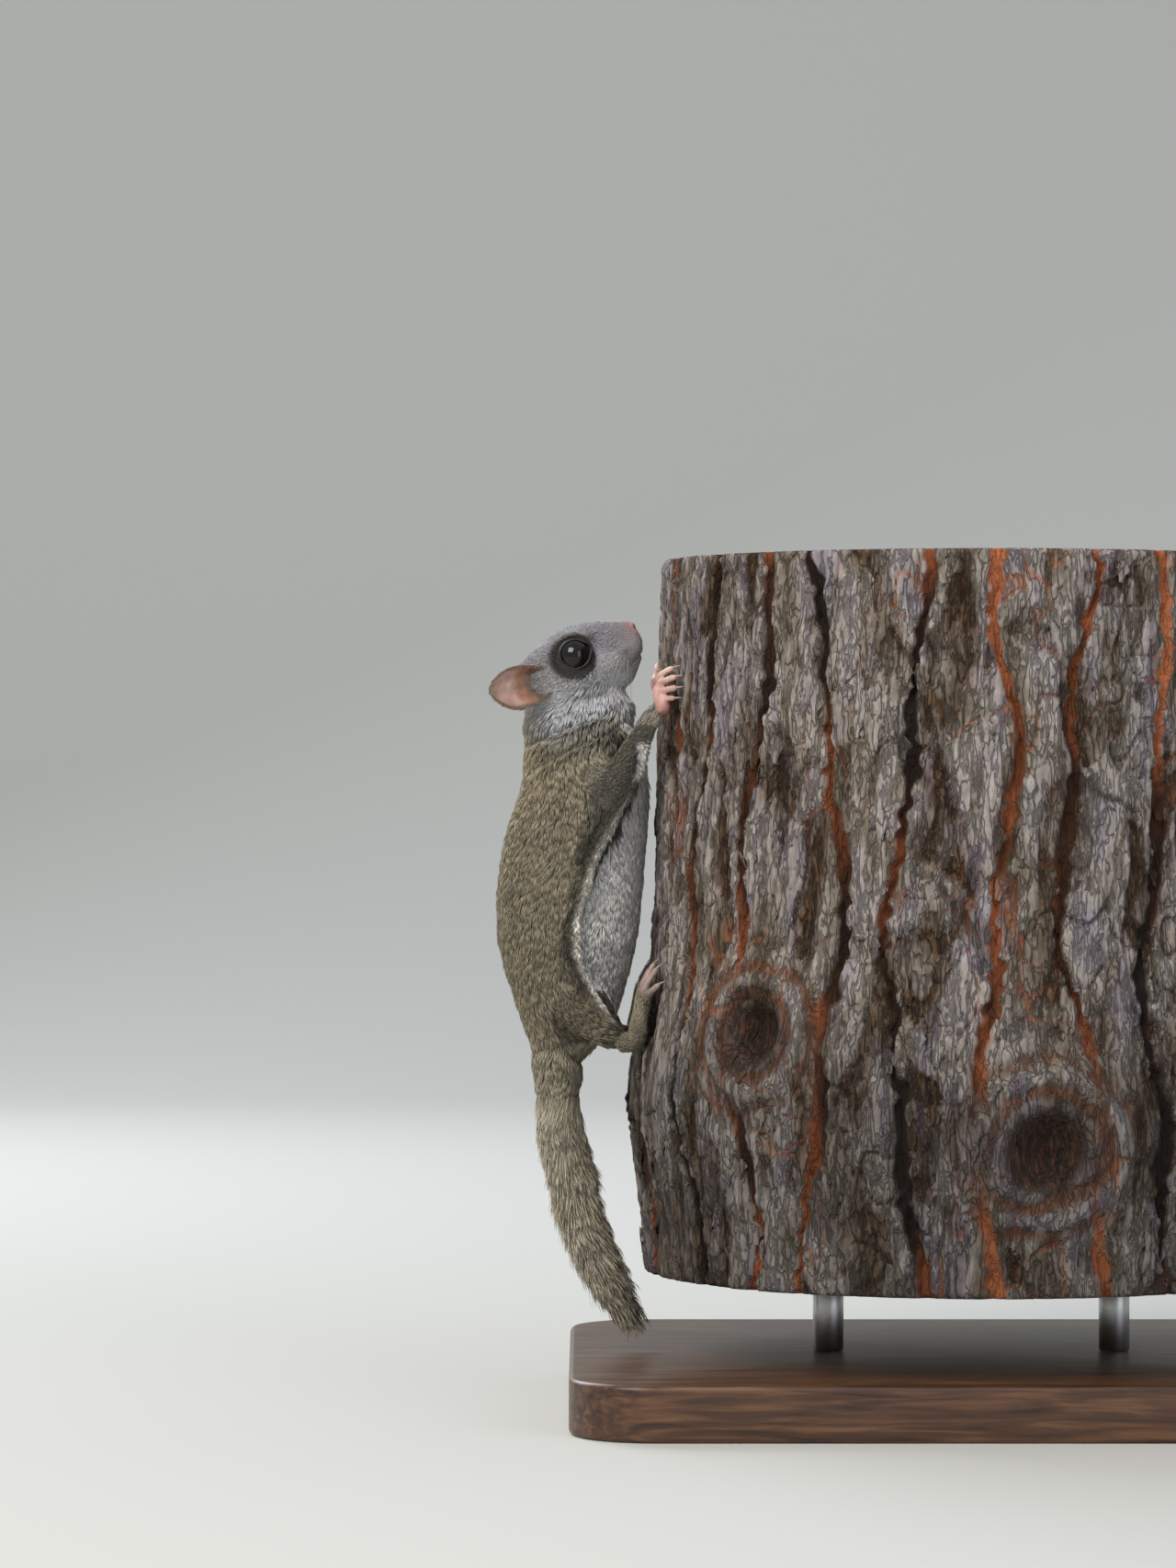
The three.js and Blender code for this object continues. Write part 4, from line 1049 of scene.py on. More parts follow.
# %% Markings of the head and tail
def head_markings(points, tips, roots, head):
    """Paints the head over the body's colours; `head` is how much of each point belongs to it."""
    along, rise, y = head_place(points)
    x = points[:, 0]
    side = smooth_step(2, 6, np.abs(y))
    low = head * smooth_step(1.5, -4.0, rise) * mix(0.25, 1.0, smooth_step(-131, -117, x))
    chin = head * smooth_step(-5.5, -9, rise) * smooth_step(-119, -108, x)
    around = np.hypot(along - EYE["along"], (rise - EYE["rise"]) * 1.04)
    ring = smooth_step(7.4, 5.4, around) + 0.75 * spot(along, rise, (12.4, 5.4), (2.2, 1.7))
    ring = ring * head * side
    from_nose = np.sqrt((along + 0.4) ** 2 + (rise - 2.7) ** 2 + 0.4 * y * y)
    nose = head * smooth_step(4.2, 1.2, from_nose)
    pad = 0.5 * head * side * spot(along, rise, (5.4, -2.6), (1.1, 0.9))
    tips = layered(tips, [
        (head, "#a9a9b0"), (low, "#cbccd0"), (chin, "#e2e5ea"),
        (0.5 * head * spot(along, rise, (28, 2), (4, 6)), "#aca598"),
        (0.6 * head * smooth_step(9, 3, along), "#c3b3b6"),
        (ring, "#37322b"), (pad, "#4a4547"), (0.9 * nose, "#b98f93"),
    ])
    roots = layered(roots, [
        (head, "#68686e"), (0.8 * low, "#8b8b8f"), (ring, "#191613"), (pad, "#2c292a"), (nose, "#b38a8e"),
    ])
    return tips, roots


def tail_markings(points, normals, tips, roots):
    """Paints the tail over the body's colours, with painted shade on its side that faces the trunk, darkest
    near its tip.
    """
    tail = smooth_step(114, 90, points[:, 2] + 3 * noise(points, 4.0, 10))
    tip_fringe_shade = tail * smooth_step(52, 34, points[:, 2])
    tips = layered(tips, [
        (tail, "#bfb7a3"),
        # painted shade: the side of the tail that faces the trunk, away from the window light, is darker
        (0.5 * tail * smooth_step(0.1, 0.8, normals[:, 0]), "#a09884"),
        # painted shade near the tip, on the same side that faces the trunk
        (0.55 * tip_fringe_shade * smooth_step(-0.2, 0.7, normals[:, 0]), "#4a4b48"),
    ])
    return tips, tinted(roots, tail, "#6a6455")


def markings(points, normals, part):
    """Colours of hair tips and roots; `part` is the part of the body that each point is on."""
    x, _, z = points.T
    fold = np.array(NECK_CREASES[0][0])
    over_fold = z - np.interp(x, fold[:, 0], fold[:, 1]) + 1.6 * noise(points, 3.0, 9)
    is_head = smooth_step(-3.2, 3.6, over_fold)
    is_head = is_head * (1 - 0.8 * smooth_step(-119, -130, x) * smooth_step(211, 203, z))
    is_head = is_head * np.isin(part, ["head", "body"])
    tips, roots = body_markings(points, normals, part)
    tips, roots = tail_markings(points, normals, tips, roots)
    return head_markings(points, tips, roots, is_head)


print("head and tail colours ready")


# %% [markdown]
# Fingers, toes and ears have so little hair that their skin sets their colour. Blood shows through
# it, so it is pink where it is thin, darker at an ear's rim and dull where hair covers it.

# %% Markings of naked skin
def bare_markings(points, normals, kind, edge):
    """Naked skin: fingers and toes pink, ears rosy with a dark rim, lids black."""
    z = points[:, 2]
    over_wrist = z - WRIST_Z - np.where(points[:, 1] > 0, REACH[1], 0)
    from_root = np.linalg.norm(points - on_head(*EAR_ROOT[:2]), axis=1)
    behind = smooth_step(0.1, -0.3, np.sign(points[:, 1]) * normals[:, 1])
    washes = [
        ("foot", 1.0, "#a8918c"),
        ("foot", smooth_step(125.5, 119.5, z), "#5d5647"),
        ("hand", 0.6 * smooth_step(2.5, -1.5, over_wrist), "#a4665a"),
        ("hand", 0.5 * smooth_step(6.0, 11.0, over_wrist), "#d9bfb3"),
        ("ear", 1.0, "#b29387"),
        ("ear", smooth_step(17.4, 14.6, from_root), "#93603f"),
        ("ear", smooth_step(15.0, 12.2, from_root), "#4a3323"),
        ("ear", smooth_step(20.5, 23.5, from_root), "#836a58"),
        ("ear", smooth_step(0.72, 0.98, edge), "#7d6454"),
        ("ear", 0.25 * (noise(points, 1.6, 8) + 1), "#94776b"),
        ("ear", 0.85 * behind, "#7d7364"),
        ("lid", 1.0, "#14110f"),
    ]
    return layered(linear("#c49c92"), [((kind == name) * weight, code) for name, weight, code in washes])


UNDER_FUR = 0.3  # the share of the hair tips' colour in the skin between the hairs
flesh = kind_of_point == "flesh"
edge_of_point = np.zeros(len(skin_points))
edge_of_point[kind_of_point == "ear"] = ear_edge
tips, roots = markings(skin_points, skin_normals, np.where(flesh, flesh_part, "bare"))
bare = bare_markings(skin_points, skin_normals, kind_of_point, edge_of_point)
paint(skin.data, "marking", np.where(flesh[:, None], mix(roots, tips, UNDER_FUR), bare))
print("markings on", int(flesh.sum()), "furred and", int((~flesh).sum()), "bare points")

# %% [markdown]
# Skin under fur only shows in the partings, so it is dull. Naked skin on the paws, ears and nose
# lets some light in and has a fine crazed grain.

# %% Skin materials
def skin_material(name, roughness, subsurface, grain_mm, bump):
    """Skin with the painted marking as its colour and a pebbled grain of the given size."""
    made, tree, shader = new_material(name)
    place = add_node(tree, "ShaderNodeTexCoord").outputs["Object"]
    marking = add_node(tree, "ShaderNodeAttribute", {"attribute_name": "marking"})
    grain = add_node(tree, "ShaderNodeTexVoronoi", {"feature": "F1"},
                     {"Vector": place, "Scale": 1 / (grain_mm * MM)})
    mottle = add_node(tree, "ShaderNodeTexNoise", None,
                      {"Vector": place, "Scale": 1 / (2.2 * MM), "Detail": 4.0})
    shade = add_node(tree, "ShaderNodeMapRange", None, {
        "Value": mottle.outputs["Fac"], "From Min": 0.3, "From Max": 0.7, "To Min": 0.8, "To Max": 1.12,
    })
    toned = add_node(tree, "ShaderNodeVectorMath", {"operation": "SCALE"},
                     {"Vector": marking.outputs["Color"], "Scale": shade.outputs["Result"]})
    relief = add_node(tree, "ShaderNodeBump", None,
                      {"Height": grain.outputs["Distance"], "Strength": bump, "Distance": 0.12 * MM})
    set_inputs(tree, shader, {
        "Base Color": toned.outputs["Vector"], "Normal": relief.outputs["Normal"], "Roughness": roughness,
        "Subsurface Weight": subsurface, "Subsurface Radius": (1.6 * MM, 0.7 * MM, 0.4 * MM),
        "Subsurface Scale": 1.0,
    })
    return made


print("one recipe for furred and for naked skin")

# %% Finished skin
# a dull underlayer that makes the partings of the coat look soft and deep
furred_skin = skin_material("skin_under_fur", 0.85, 0.0, 0.4, 0.3)
# thin living skin: light glows through fingers and ear rims a little, with a soft moist shine
naked_skin = skin_material("naked_skin", 0.48, 0.25, 0.45, 0.45)
FLESH_NODES = ["torso", "neck", "head", "tail", "ear_right", "ear_left", "arm_right", "arm_left",
               "hand_right", "hand_left", "leg_right", "leg_left", "foot_right", "foot_left",
               "membrane_right", "membrane_left"]
finish_piece(skin, furred_skin, FLESH_NODES)
skin.data.materials.append(naked_skin)
skin.data.polygons.foreach_set("material_index", (kind_of_face != "flesh").astype(np.int32))

# %% [markdown]
# The coat is made of small locks of hair, each a closed three-sided spike that starts under the
# skin, leans the way the coat lies and bends back at its tip. Locks near each other lean to one
# common tip, which opens the fine dark partings seen in real fur.

# %% Locks of hair
COAT = {
    # length, width, lift off the skin, share of pull to the clump's tip, spacing of the clumps
    "head": (2.1, 0.23, 0.34, 0.5, 0.9), "body": (4.6, 0.38, 0.44, 0.58, 1.6),
    "tail": (9.5, 0.36, 0.68, 0.42, 2.2), "arm": (2.0, 0.27, 0.34, 0.45, 1.1),
    "leg": (3.2, 0.34, 0.4, 0.5, 1.4), "hand": (0.75, 0.11, 0.22, 0.3, 0.8),
    "foot": (0.85, 0.12, 0.22, 0.3, 0.8), "fold": (2.6, 0.3, 0.32, 0.5, 1.3),
    "ear": (1.5, 0.14, 0.3, 0.3, 0.8),
}
# the thin hair of hands, feet and ears: colour of the tips, colour of the roots
THIN_HAIR = {"hand": ("#c4aca0", "#b0897d"), "foot": ("#b0a39c", "#978882"), "ear": ("#94826f", "#6f5746")}


def spread(faces, density, count):
    """Random roots on the skin, evenly spaced: triangle numbers and barycentric weights."""
    corner = skin_points[skin_faces[faces]]
    area = np.linalg.norm(np.cross(corner[:, 1] - corner[:, 0], corner[:, 2] - corner[:, 0]), axis=1)
    total = np.cumsum(area * density)
    draw = (np.arange(count) + random.random(count)) / count * total[-1]
    picked = faces[np.minimum(np.searchsorted(total, draw), len(faces) - 1)]
    a, b = random.random(count), random.random(count)
    flip = a + b > 1
    a, b = np.where(flip, 1 - a, a), np.where(flip, 1 - b, b)
    return picked, np.stack([1 - a - b, a, b], 1)


def at_roots(values, picked, weights):
    """Values of the skin's points, read at the roots."""
    return np.einsum("ij,ijk->ik", weights, values[skin_faces[picked]])


def nearest_of(points, chosen):
    """For each point, the number of the nearest chosen point."""
    tree = KDTree(len(chosen))
    for k in chosen:
        tree.insert(points[k], int(k))
    tree.balance()
    return np.array([tree.find(p)[1] for p in points])


print("looks of hair for", ", ".join(COAT))


# %% [markdown]
# Hair follows the guides but is never combed flat. Each lock sways a little, keeps clear of the eye
# and is drawn to its clump's tip, so that the coat parts into small wedges.

# %% How locks lie
def combed(root, normal, lie, lean):
    """The way each lock lies: along the guides, away from the eye and a little unkempt."""
    along, rise, y = head_place(root)
    from_eye = np.stack([along - EYE["along"], rise - EYE["rise"]], 1)
    close = bell(np.hypot(*from_eye.T) - 5.5, 2.5) * (np.abs(y) > 5)
    aside = unit(from_eye[:, :1] * BACKWARD + from_eye[:, 1:] * CROWNWARD)
    lie = lie + 0.9 * close[:, None] * aside + np.array(lean)
    lie = unit(lie - (lie * normal).sum(1)[:, None] * normal)
    stray = 0.12 * random.normal(size=len(root))
    sway = 0.32 * noise(root, 5.0, 21) + 0.22 * noise(root, 1.8, 22) + stray
    return unit(lie + sway[:, None] * np.cross(normal, lie))


def clump_pull(root, rising, spacing):
    """The way from each lock's tip to the tip of its clump, within the clump's reach."""
    many = max(2, int(len(root) / (1 + spacing.mean() * 6)))
    own = nearest_of(root, random.permutation(len(root))[:many])
    to_tip = (root[own] + rising[own]) - (root + rising)
    far = np.linalg.norm(to_tip, axis=1)
    return to_tip * np.minimum(1, 1.2 * spacing / np.maximum(far, 1e-6))[:, None]


print("locks near the eye turn away from", on_head(EYE["along"], EYE["rise"]).round(1))


# %% Shape and colour of a lock
def spike_faces(rings, count):
    """Triangles of closed three-sided spikes, each with some rings and one tip."""
    one = [(0, 1, 2)]
    for ring in range(rings - 1):
        for k in range(3):
            a, b = 3 * ring + k, 3 * ring + (k + 1) % 3
            one += [(a, b + 3, b), (a, a + 3, b + 3)]
    tip = 3 * rings
    one += [(tip - 3 + k, tip, tip - 3 + (k + 1) % 3) for k in range(3)]
    return (np.arange(count)[:, None, None] * (tip + 1) + np.array(one)).reshape(-1, 3)


def lock_colours(root, normal, part, cuts):
    """One colour for each point of each lock, from dark roots to pale tips."""
    tips, roots = markings(root, normal, part)
    for kind, (tip_code, root_code) in THIN_HAIR.items():
        tips = tinted(tips, (part == kind) * 1.0, tip_code)
        roots = tinted(roots, (part == kind) * 1.0, root_code)
    heel = (part == "foot") * smooth_step(125, 119, root[:, 2])
    tips, roots = tinted(tips, heel, "#8f8774"), tinted(roots, heel, "#5d5647")
    tone = (1 + 0.14 * random.normal(size=len(root)) + 0.12 * noise(root, 2.2, 24))[:, None]
    shades = [roots] * 3
    for cut in cuts:
        shades += [mix(roots, tips, smooth_step(0.1, 0.75, np.array(cut)))] * 3
    return np.stack([*shades, tips * 1.05], 1) * np.clip(tone, 0.6, 1.5)[:, None]


print("a lock with one bend has", len(spike_faces(2, 1)), "triangles")


# %% Growing a piece of coat
def locks(name, picked, weights, look, cuts, lean):
    """Builds the closed spikes of one coat piece; `look` gives length, width, lift, pull and spacing."""
    root = at_roots(skin_points, picked, weights)
    normal = unit(at_roots(skin_normals, picked, weights))
    lie = combed(root, normal, at_roots(skin_lie, picked, weights), lean)
    across = np.cross(normal, lie)
    length, width, lift, pull, spacing = look
    count = len(root)
    length = length * random.uniform(0.72, 1.18, count)
    lift = lift * (1 + 0.3 * noise(root, 3.0, 23) + 0.2 * random.normal(size=count))
    rising = length[:, None] * (lie + normal * (lift * 0.55)[:, None])
    to_tip = clump_pull(root, rising, spacing)
    shape = []
    for t, share in [(0.0, 0.8)] + [(cut, 1.0 - 0.25 * (cut > 0.6)) for cut in cuts]:
        bend = length[:, None] * (lie * t + normal * (lift * t * (1 - 0.45 * t))[:, None])
        centre = root + bend - 0.12 * (t == 0) * normal + (pull * t ** 1.4)[:, None] * to_tip
        half = (0.5 * width * share)[:, None]
        shape += [centre + across * half, centre - across * half, centre + normal * half * 0.9]
    shape.append(root + rising + pull[:, None] * to_tip)
    faces = spike_faces(len(cuts) + 1, count)
    piece = object_from(name, mesh_from(name, np.stack(shape, 1).reshape(-1, 3), faces))
    paint(piece.data, "marking", lock_colours(root, normal, part_of_face[picked], cuts).reshape(-1, 3))
    # each lock takes the unwrap at its root, with its points in a small fan
    fan = 2.4 * np.arange(len(shape))
    patch = 0.0015 * np.stack([np.cos(fan), np.sin(fan)], 1)
    root_uv = np.einsum("ij,ijk->ik", weights, skin_uv[picked])
    uv = (root_uv[:, None] + patch).reshape(-1, 2)[faces.ravel()]
    layer = piece.data.uv_layers.new(name="OFBake")
    layer.data.foreach_set("uv", np.clip(uv, 0, 1).astype(np.float32).ravel())
    finish_piece(piece, fur_material)


print("a coat piece can now be grown from roots on", len(skin_faces), "triangles")

# %% [markdown]
# Hair is glassy inside but very fine, so a coat looks soft with a faint sheen along it.

# %% Fur material
# a soft matt coat: the roots darken the depth, the tips catch a faint light
fur_material, tree, shader = new_material("soft_grey_brown_fur")
marking = add_node(tree, "ShaderNodeAttribute", {"attribute_name": "marking"})
set_inputs(tree, shader, {
    "Base Color": marking.outputs["Color"], "Roughness": 0.62, "Specular IOR Level": 0.28,
    "Sheen Weight": 0.12, "Sheen Roughness": 0.45,
})
print("made", fur_material.name)

# %% [markdown]
# The coat is grown in stretches, because one mesh of all the hair would have too many faces to handle.
# Each stretch draws its roots by area, so the hair is equally dense on large and small triangles. The
# eyes and the tip of the nose stay bare.

# %% Coat pieces
TAIL_CUTS = (0.35, 0.75)  # tail hair is long, so each lock bends at two places
face_centre = skin_points[skin_faces].mean(1)
along, rise, y = head_place(face_centre)
on_eye = (np.hypot(along - EYE["along"], rise - EYE["rise"]) < 5.0) & (np.abs(y) > 5)
on_nose = np.sqrt((along + 0.4) ** 2 + (rise - 2.4) ** 2 + 0.5 * y * y) < 2.3
hairless = (on_eye & (part_of_face == "head")) | on_nose
print("hairless triangles round the eyes and on the nose:", int(hairless.sum()))


# %% Where hair grows
def look_for(part, root):
    """Length, width, lift, pull and clump spacing for each root, by part of the body."""
    look = np.array([COAT[kind] for kind in part]).T
    along, head, z = head_place(root)[0], part == "head", root[:, 2]
    longer_back = mix(0.3, 1.0, smooth_step(-1, 14, along)) * mix(1.0, 1.5, smooth_step(24, 34, along))
    look[0] *= np.where(head, longer_back, 1.0)
    look[1] *= np.where(head, mix(0.5, 1.0, smooth_step(0, 14, along)), 1.0)
    look[2] *= np.where(head, mix(0.55, 1.0, smooth_step(2, 12, along)), 1.0)
    look[2] *= np.where(part == "tail", mix(0.4, 1.0, smooth_step(104, 78, z)), 1.0)
    look[:2] *= mix(1.0, 2.2, (part == "foot") * smooth_step(125, 117, z))
    return look


def coat_piece(name, kinds, density, count, cuts=(0.5,), lean=(0.0, 0.0, 0.0)):
    """One coat piece over the triangles whose part is in `kinds`."""
    faces = np.flatnonzero(np.isin(part_of_face, kinds) & ~hairless)
    picked, weights = spread(faces, density(face_centre[faces]), count)
    look = look_for(part_of_face[picked], at_roots(skin_points, picked, weights))
    locks(name, picked, weights, look, cuts, lean)


def only(test):
    """A density of 1 where the test holds and next to nothing elsewhere."""
    return lambda centre: test(centre) * 1.0 + 1e-9


def near_rim(centre):
    """Hair grows along the free edge of the gliding fold only."""
    return bell(rim_gap(centre), 1.1) * (centre[:, 2] > 112) + 1e-9


def ear_rim(centre):
    """Hair grows at the root, on the back and along the rim of an ear."""
    edge = edge_of_point[skin_faces].mean(1)[kind_of_face == "ear"]
    from_root = np.linalg.norm((centre - on_head(*EAR_ROOT[:2])) * (1, 0, 1), axis=1)
    normal = skin_normals[skin_faces].mean(1)[kind_of_face == "ear"]
    behind = smooth_step(0.1, -0.3, np.sign(centre[:, 1]) * normal[:, 1])
    return 0.03 + 1.3 * smooth_step(0.8, 0.97, edge) + 0.6 * smooth_step(7.5, 4.5, from_root) + 0.9 * behind


def back_of_paw(centre):
    """Hair grows on the backs of the paws only, thicker towards the wrist and ankle."""
    angle = np.arctan2(-centre[:, 1], -centre[:, 0])
    lifted = np.hypot(centre[:, 0], centre[:, 1]) - trunk_radius(angle, centre[:, 2])
    heel = smooth_step(125, 117, centre[:, 2]) * (centre[:, 2] < 150)
    return smooth_step(3.0, 5.5, lifted) + 3.0 * heel + 1e-9


print("hair on the head is about", COAT["head"][0], "mm long, on the tail", COAT["tail"][0], "mm")

# %% Grown coat
BODY_KINDS = ["body", "leg", "arm", "fold"]
for low, high, count in [(0, 128, 15500), (128, 150, 16500), (150, 174, 17500), (174, 260, 19500)]:
    coat_piece(f"coat_body_{low}", BODY_KINDS,
               only(lambda c: (c[:, 2] >= low) & (c[:, 2] < high)), count)
coat_piece("coat_fold_rim", BODY_KINDS, near_rim, 5000, lean=(0.7, 0, -0.3))
coat_piece("coat_head_front", ["head"], only(lambda c: head_place(c)[0] < 16), 13500)
coat_piece("coat_head_back", ["head"], only(lambda c: head_place(c)[0] >= 16), 15000)
coat_piece("coat_tail_upper", ["tail"], only(lambda c: c[:, 2] >= 70), 10500, TAIL_CUTS)
coat_piece("coat_tail_lower", ["tail"], only(lambda c: c[:, 2] < 70), 8000, TAIL_CUTS)
coat_piece("coat_ears", ["ear"], ear_rim, 6000)
coat_piece("coat_paws", ["hand", "foot"], back_of_paw, 7500)

# %% [markdown]
# The eye of a night animal is large and almost all pupil: a dark ball behind a clear wet cornea.

# %% Eyes
def ball(centre, radius, rings=40, sides=64):
    """A closed ball with its poles up and down."""
    down = np.linspace(0, np.pi, rings + 2)[1:-1, None]
    around = 2 * np.pi * np.arange(sides) / sides
    level = [np.sin(down) * np.cos(around), np.sin(down) * np.sin(around), np.cos(down)]
    ring = np.stack(np.broadcast_arrays(*level), -1)
    points, faces = loft(centre + radius * ring)
    points[-2:] = centre + radius * np.array([[0, 0, 1], [0, 0, -1]])
    return points, faces


# a wet black ball: mirror-like, with only a hint of brown in the light
wet_eye, tree, shader = new_material("wet_dark_eye")
tone = add_node(tree, "ShaderNodeMix", {"data_type": "RGBA"},
                {"Factor": 0.3, "A": rgba("#060506"), "B": rgba("#17100c")})
set_inputs(tree, shader, {
    "Base Color": tone.outputs["Result"], "Roughness": 0.06, "Specular IOR Level": 0.3,
    "Coat Weight": 0.3, "Coat Roughness": 0.02,
})
for side, label in ((-1, "right"), (1, "left")):
    name = f"eyeball_{label}"
    eye = object_from(name, mesh_from(name, *ball(eye_frame(side)[0], EYE["radius"])))
    finish_piece(eye, wet_eye, [f"eye_{label}"])

# %% [markdown]
# Claws are curved cones of horn that hook into the bark. They are made apart from the skin because
# their finish is harder and shinier.

# %% Claws
def drifting(name, lump, dark, pale, roughness):
    """A smooth material whose colour drifts between two tones, in lumps of so many millimetres."""
    made, tree, shader = new_material(name)
    place = add_node(tree, "ShaderNodeTexCoord").outputs["Object"]
    drift = add_node(tree, "ShaderNodeTexNoise", None, {"Vector": place, "Scale": 1 / (lump * MM)})
    tone = add_node(tree, "ShaderNodeMix", {"data_type": "RGBA"},
                    {"Factor": drift.outputs["Fac"], "A": rgba(dark), "B": rgba(pale)})
    set_inputs(tree, shader, {"Base Color": tone.outputs["Result"], "Roughness": roughness})
    return made


# smooth grey-brown horn with a slight shine along the curve
horn = drifting("claw_horn", 0.7, "#6e5f54", "#a8998c", 0.35)
hand_claws = [claw(finger_path(side, k)) for side in (-1, 1) for k in range(4)]
foot_claws = [claw(toe_path(side, k)) for side in (-1, 1) for k in range(5)]
for name, slot, shapes in [("claws_front", "hand_skin", hand_claws), ("claws_rear", "foot_skin", foot_claws)]:
    finish_piece(object_from(name, mesh_from(name, *gather(shapes))), horn)

# %% [markdown]
# Whiskers are the stiffest hairs: tapered tubes in rows on each whisker pad, swept back past the
# cheek, with a few shorter ones over the eye.

# %% Whiskers
WHISKER_ROWS = [(3.4, -1.2, 5), (4.2, -2.4, 6), (4.8, -3.6, 6), (5.4, -4.8, 4)]


def surface_near(target):
    """The skin point nearest to a place."""
    return skin_points[np.linalg.norm(skin_points - target, axis=1).argmin()]


def whisker(root, heading, droop, length, radius=0.085):
    """A tapered bristle that droops towards its tip."""
    u = np.linspace(0, 1, 10)[:, None]
    line = root + heading * length * u + np.array([0, 0, -1.0]) * droop * length * u * u
    return limb(np.hstack([line, mix(radius, 0.02, u)]), sides=5, steps=14)


whiskers = []
for side in (-1, 1):
    for row, (start, up, many) in enumerate(WHISKER_ROWS):
        for k in range(many):
            root = surface_near(on_head(start + 1.15 * k, up - 0.12 * k, side * 6.5))
            heading = unit(np.array([0, side * (0.9 - 0.1 * k), 0]) + BACKWARD * (0.3 + 0.12 * k)
                           - CROWNWARD * (0.12 + 0.2 * row) + 0.08 * random.normal(size=3))
            whiskers.append(whisker(root - 0.4 * heading, heading, 0.16, random.uniform(18, 29) - 1.5 * row))
    for k in range(3):
        root = surface_near(on_head(16.5 + 1.6 * k, 9.0, side * 8.0))
        outward = np.array([0, side, 0]) + 0.9 * BACKWARD + 0.7 * CROWNWARD
        heading = unit(outward + 0.08 * random.normal(size=3))
        whiskers.append(whisker(root - 0.4 * heading, heading, 0.2, 9.0 + k))
# dark springy bristle; the pale tone that its colour drifts to along it is a painted highlight
bristle = drifting("whisker_bristle_painted_highlight", 6, "#4a4540", "#c9c5bf", 0.4)
finish_piece(object_from("whiskers", mesh_from("whiskers", *gather(whiskers))), bristle)

# %% [markdown]
# Pine bark sheds in thin layers. Between long furrows it stands in plates, each a pile of flakes
# whose edges step down to the furrow. The plates are grey and mauve, fresh edges are brown, and the
# bottom of a furrow shows orange. Old branch scars swirl the layers round a dark pit.

# %% Bark relief
FURROW_DEPTH = 2.6
FURROW_HALF = 0.027
GIRTH_RADIUS = 93.0  # turns an angle into a length along the bark


def chance(a, b):
    """A value from 0 to 1 that looks random but is the same for the same pair."""
    value = np.sin(a * 127.1 + b * 311.7 + 74.7) * 43758.5453
    return value - np.floor(value)


def furrow_angle(k, z):
    """Where furrow k runs at each height; it sways a little."""
    n = k % TRUNK["furrows"]
    sway = 0.2 * np.sin(z / 34 + 6.28 * chance(n, 1)) + 0.07 * np.sin(z / 11 + 6.28 * chance(n, 2))
    return 2 * np.pi / TRUNK["furrows"] * (k + (sway if n else 0.3 * sway))


def furrow_share(angle, z):
    """1 in the middle of a furrow, 0 on a plate."""
    place = np.stack([angle * GIRTH_RADIUS, z * 0 + 3, z], 1)
    wobble = 0.014 * noise(place, 3.0, 31) + 0.02 * noise(place * (1, 1, 0.6), 8.0, 41)
    gap = np.full(len(angle), 9.0)
    for k in range(TRUNK["furrows"]):
        away = angle + wobble - furrow_angle(k, z)
        gap = np.minimum(gap, np.abs(np.arctan2(np.sin(away), np.cos(away))))
    half = FURROW_HALF * (0.75 + 0.55 * noise(place * (1, 1, 0.5), 14.0, 42))
    return np.clip(1 - gap / np.maximum(half, 0.008), 0, 1)


print("furrows are about", round(2 * FURROW_HALF * GIRTH_RADIUS, 1), "mm wide")


# %% Layers of the bark
def bark_relief(angle, z):
    """Height of the bark off the trunk's outline, and how deep in a crack each point is."""
    girth = angle * GIRTH_RADIUS
    warp = 3.2 * noise(np.stack([girth, z * 0, z * 0.5], 1), 9.0, 32)
    flat = np.stack([girth + warp, z * 0 + 7, z * 0.34 + 1.5 * warp], 1)
    layers = np.zeros(len(angle))
    away = np.min([knot_distance(angle, z, GIRTH_RADIUS, knot) for knot in KNOTS], axis=0)
    near_knot = np.exp(-((away / 1.45) ** 4))
    pit = bell(away, 0.34)
    for lump, seed, step in [(8.5, 33, 0.55), (5.4, 34, 0.6), (3.3, 35, 0.45), (2.0, 40, 0.22)]:
        layers += step * smooth_step(-0.04, 0.04, noise(flat, lump, seed) + 0.12)
    swirl = np.sin(14 * away + 0.8 * warp + 0.5 * noise(flat, 2.0, 43))
    layers = mix(layers, 1.1 + 0.7 * np.sign(swirl) * np.abs(swirl) ** 0.5, 0.8 * near_knot)
    grain = noise(np.stack([girth, z * 0, z * 0.22], 1), 0.9, 36)
    crumbs = noise(np.stack([girth, z * 0 + 1, z], 1), 1.3, 37)
    crack = np.clip(1 - np.abs(noise(flat * (1, 1, 1.6), 9.5, 38)) / 0.07, 0, 1)
    cross = np.clip(1 - np.abs(noise(np.stack([girth * 0.5, z * 0, z], 1), 6.0, 39)) / 0.05, 0, 1)
    furrow = furrow_share(angle, z) ** 0.7 * (1 - 0.8 * near_knot)
    split = np.maximum(crack, 0.7 * cross) * (1 - furrow)
    ringed = 0.2 * near_knot * (swirl < -0.35) * (1 - pit)
    deep = np.maximum(np.maximum(furrow, 0.4 * split), ringed)
    layers = layers * (1 - pit)
    lift = layers - 1.55 + 0.2 * grain + 0.16 * crumbs - FURROW_DEPTH * furrow - 0.8 * pit
    knotty = smooth_step(1.05, 0.35, away + 0.12 * noise(flat, 3.0, 44))
    return lift - 0.9 * split, deep, layers, knotty


print("furrow depth", FURROW_DEPTH, "mm")


# %% [markdown]
# A real log is one piece, but each piece of the model has a limit on its faces. The log is made as
# two closed halves that meet in a plane through the pith, and its sawn ends get a finish of their own.

# %% Half a log
def upright_share(points, faces):
    """How far each triangle faces up (1) or down (-1)."""
    corner = points[faces]
    return unit(np.cross(corner[:, 1] - corner[:, 0], corner[:, 2] - corner[:, 0]))[:, 2]


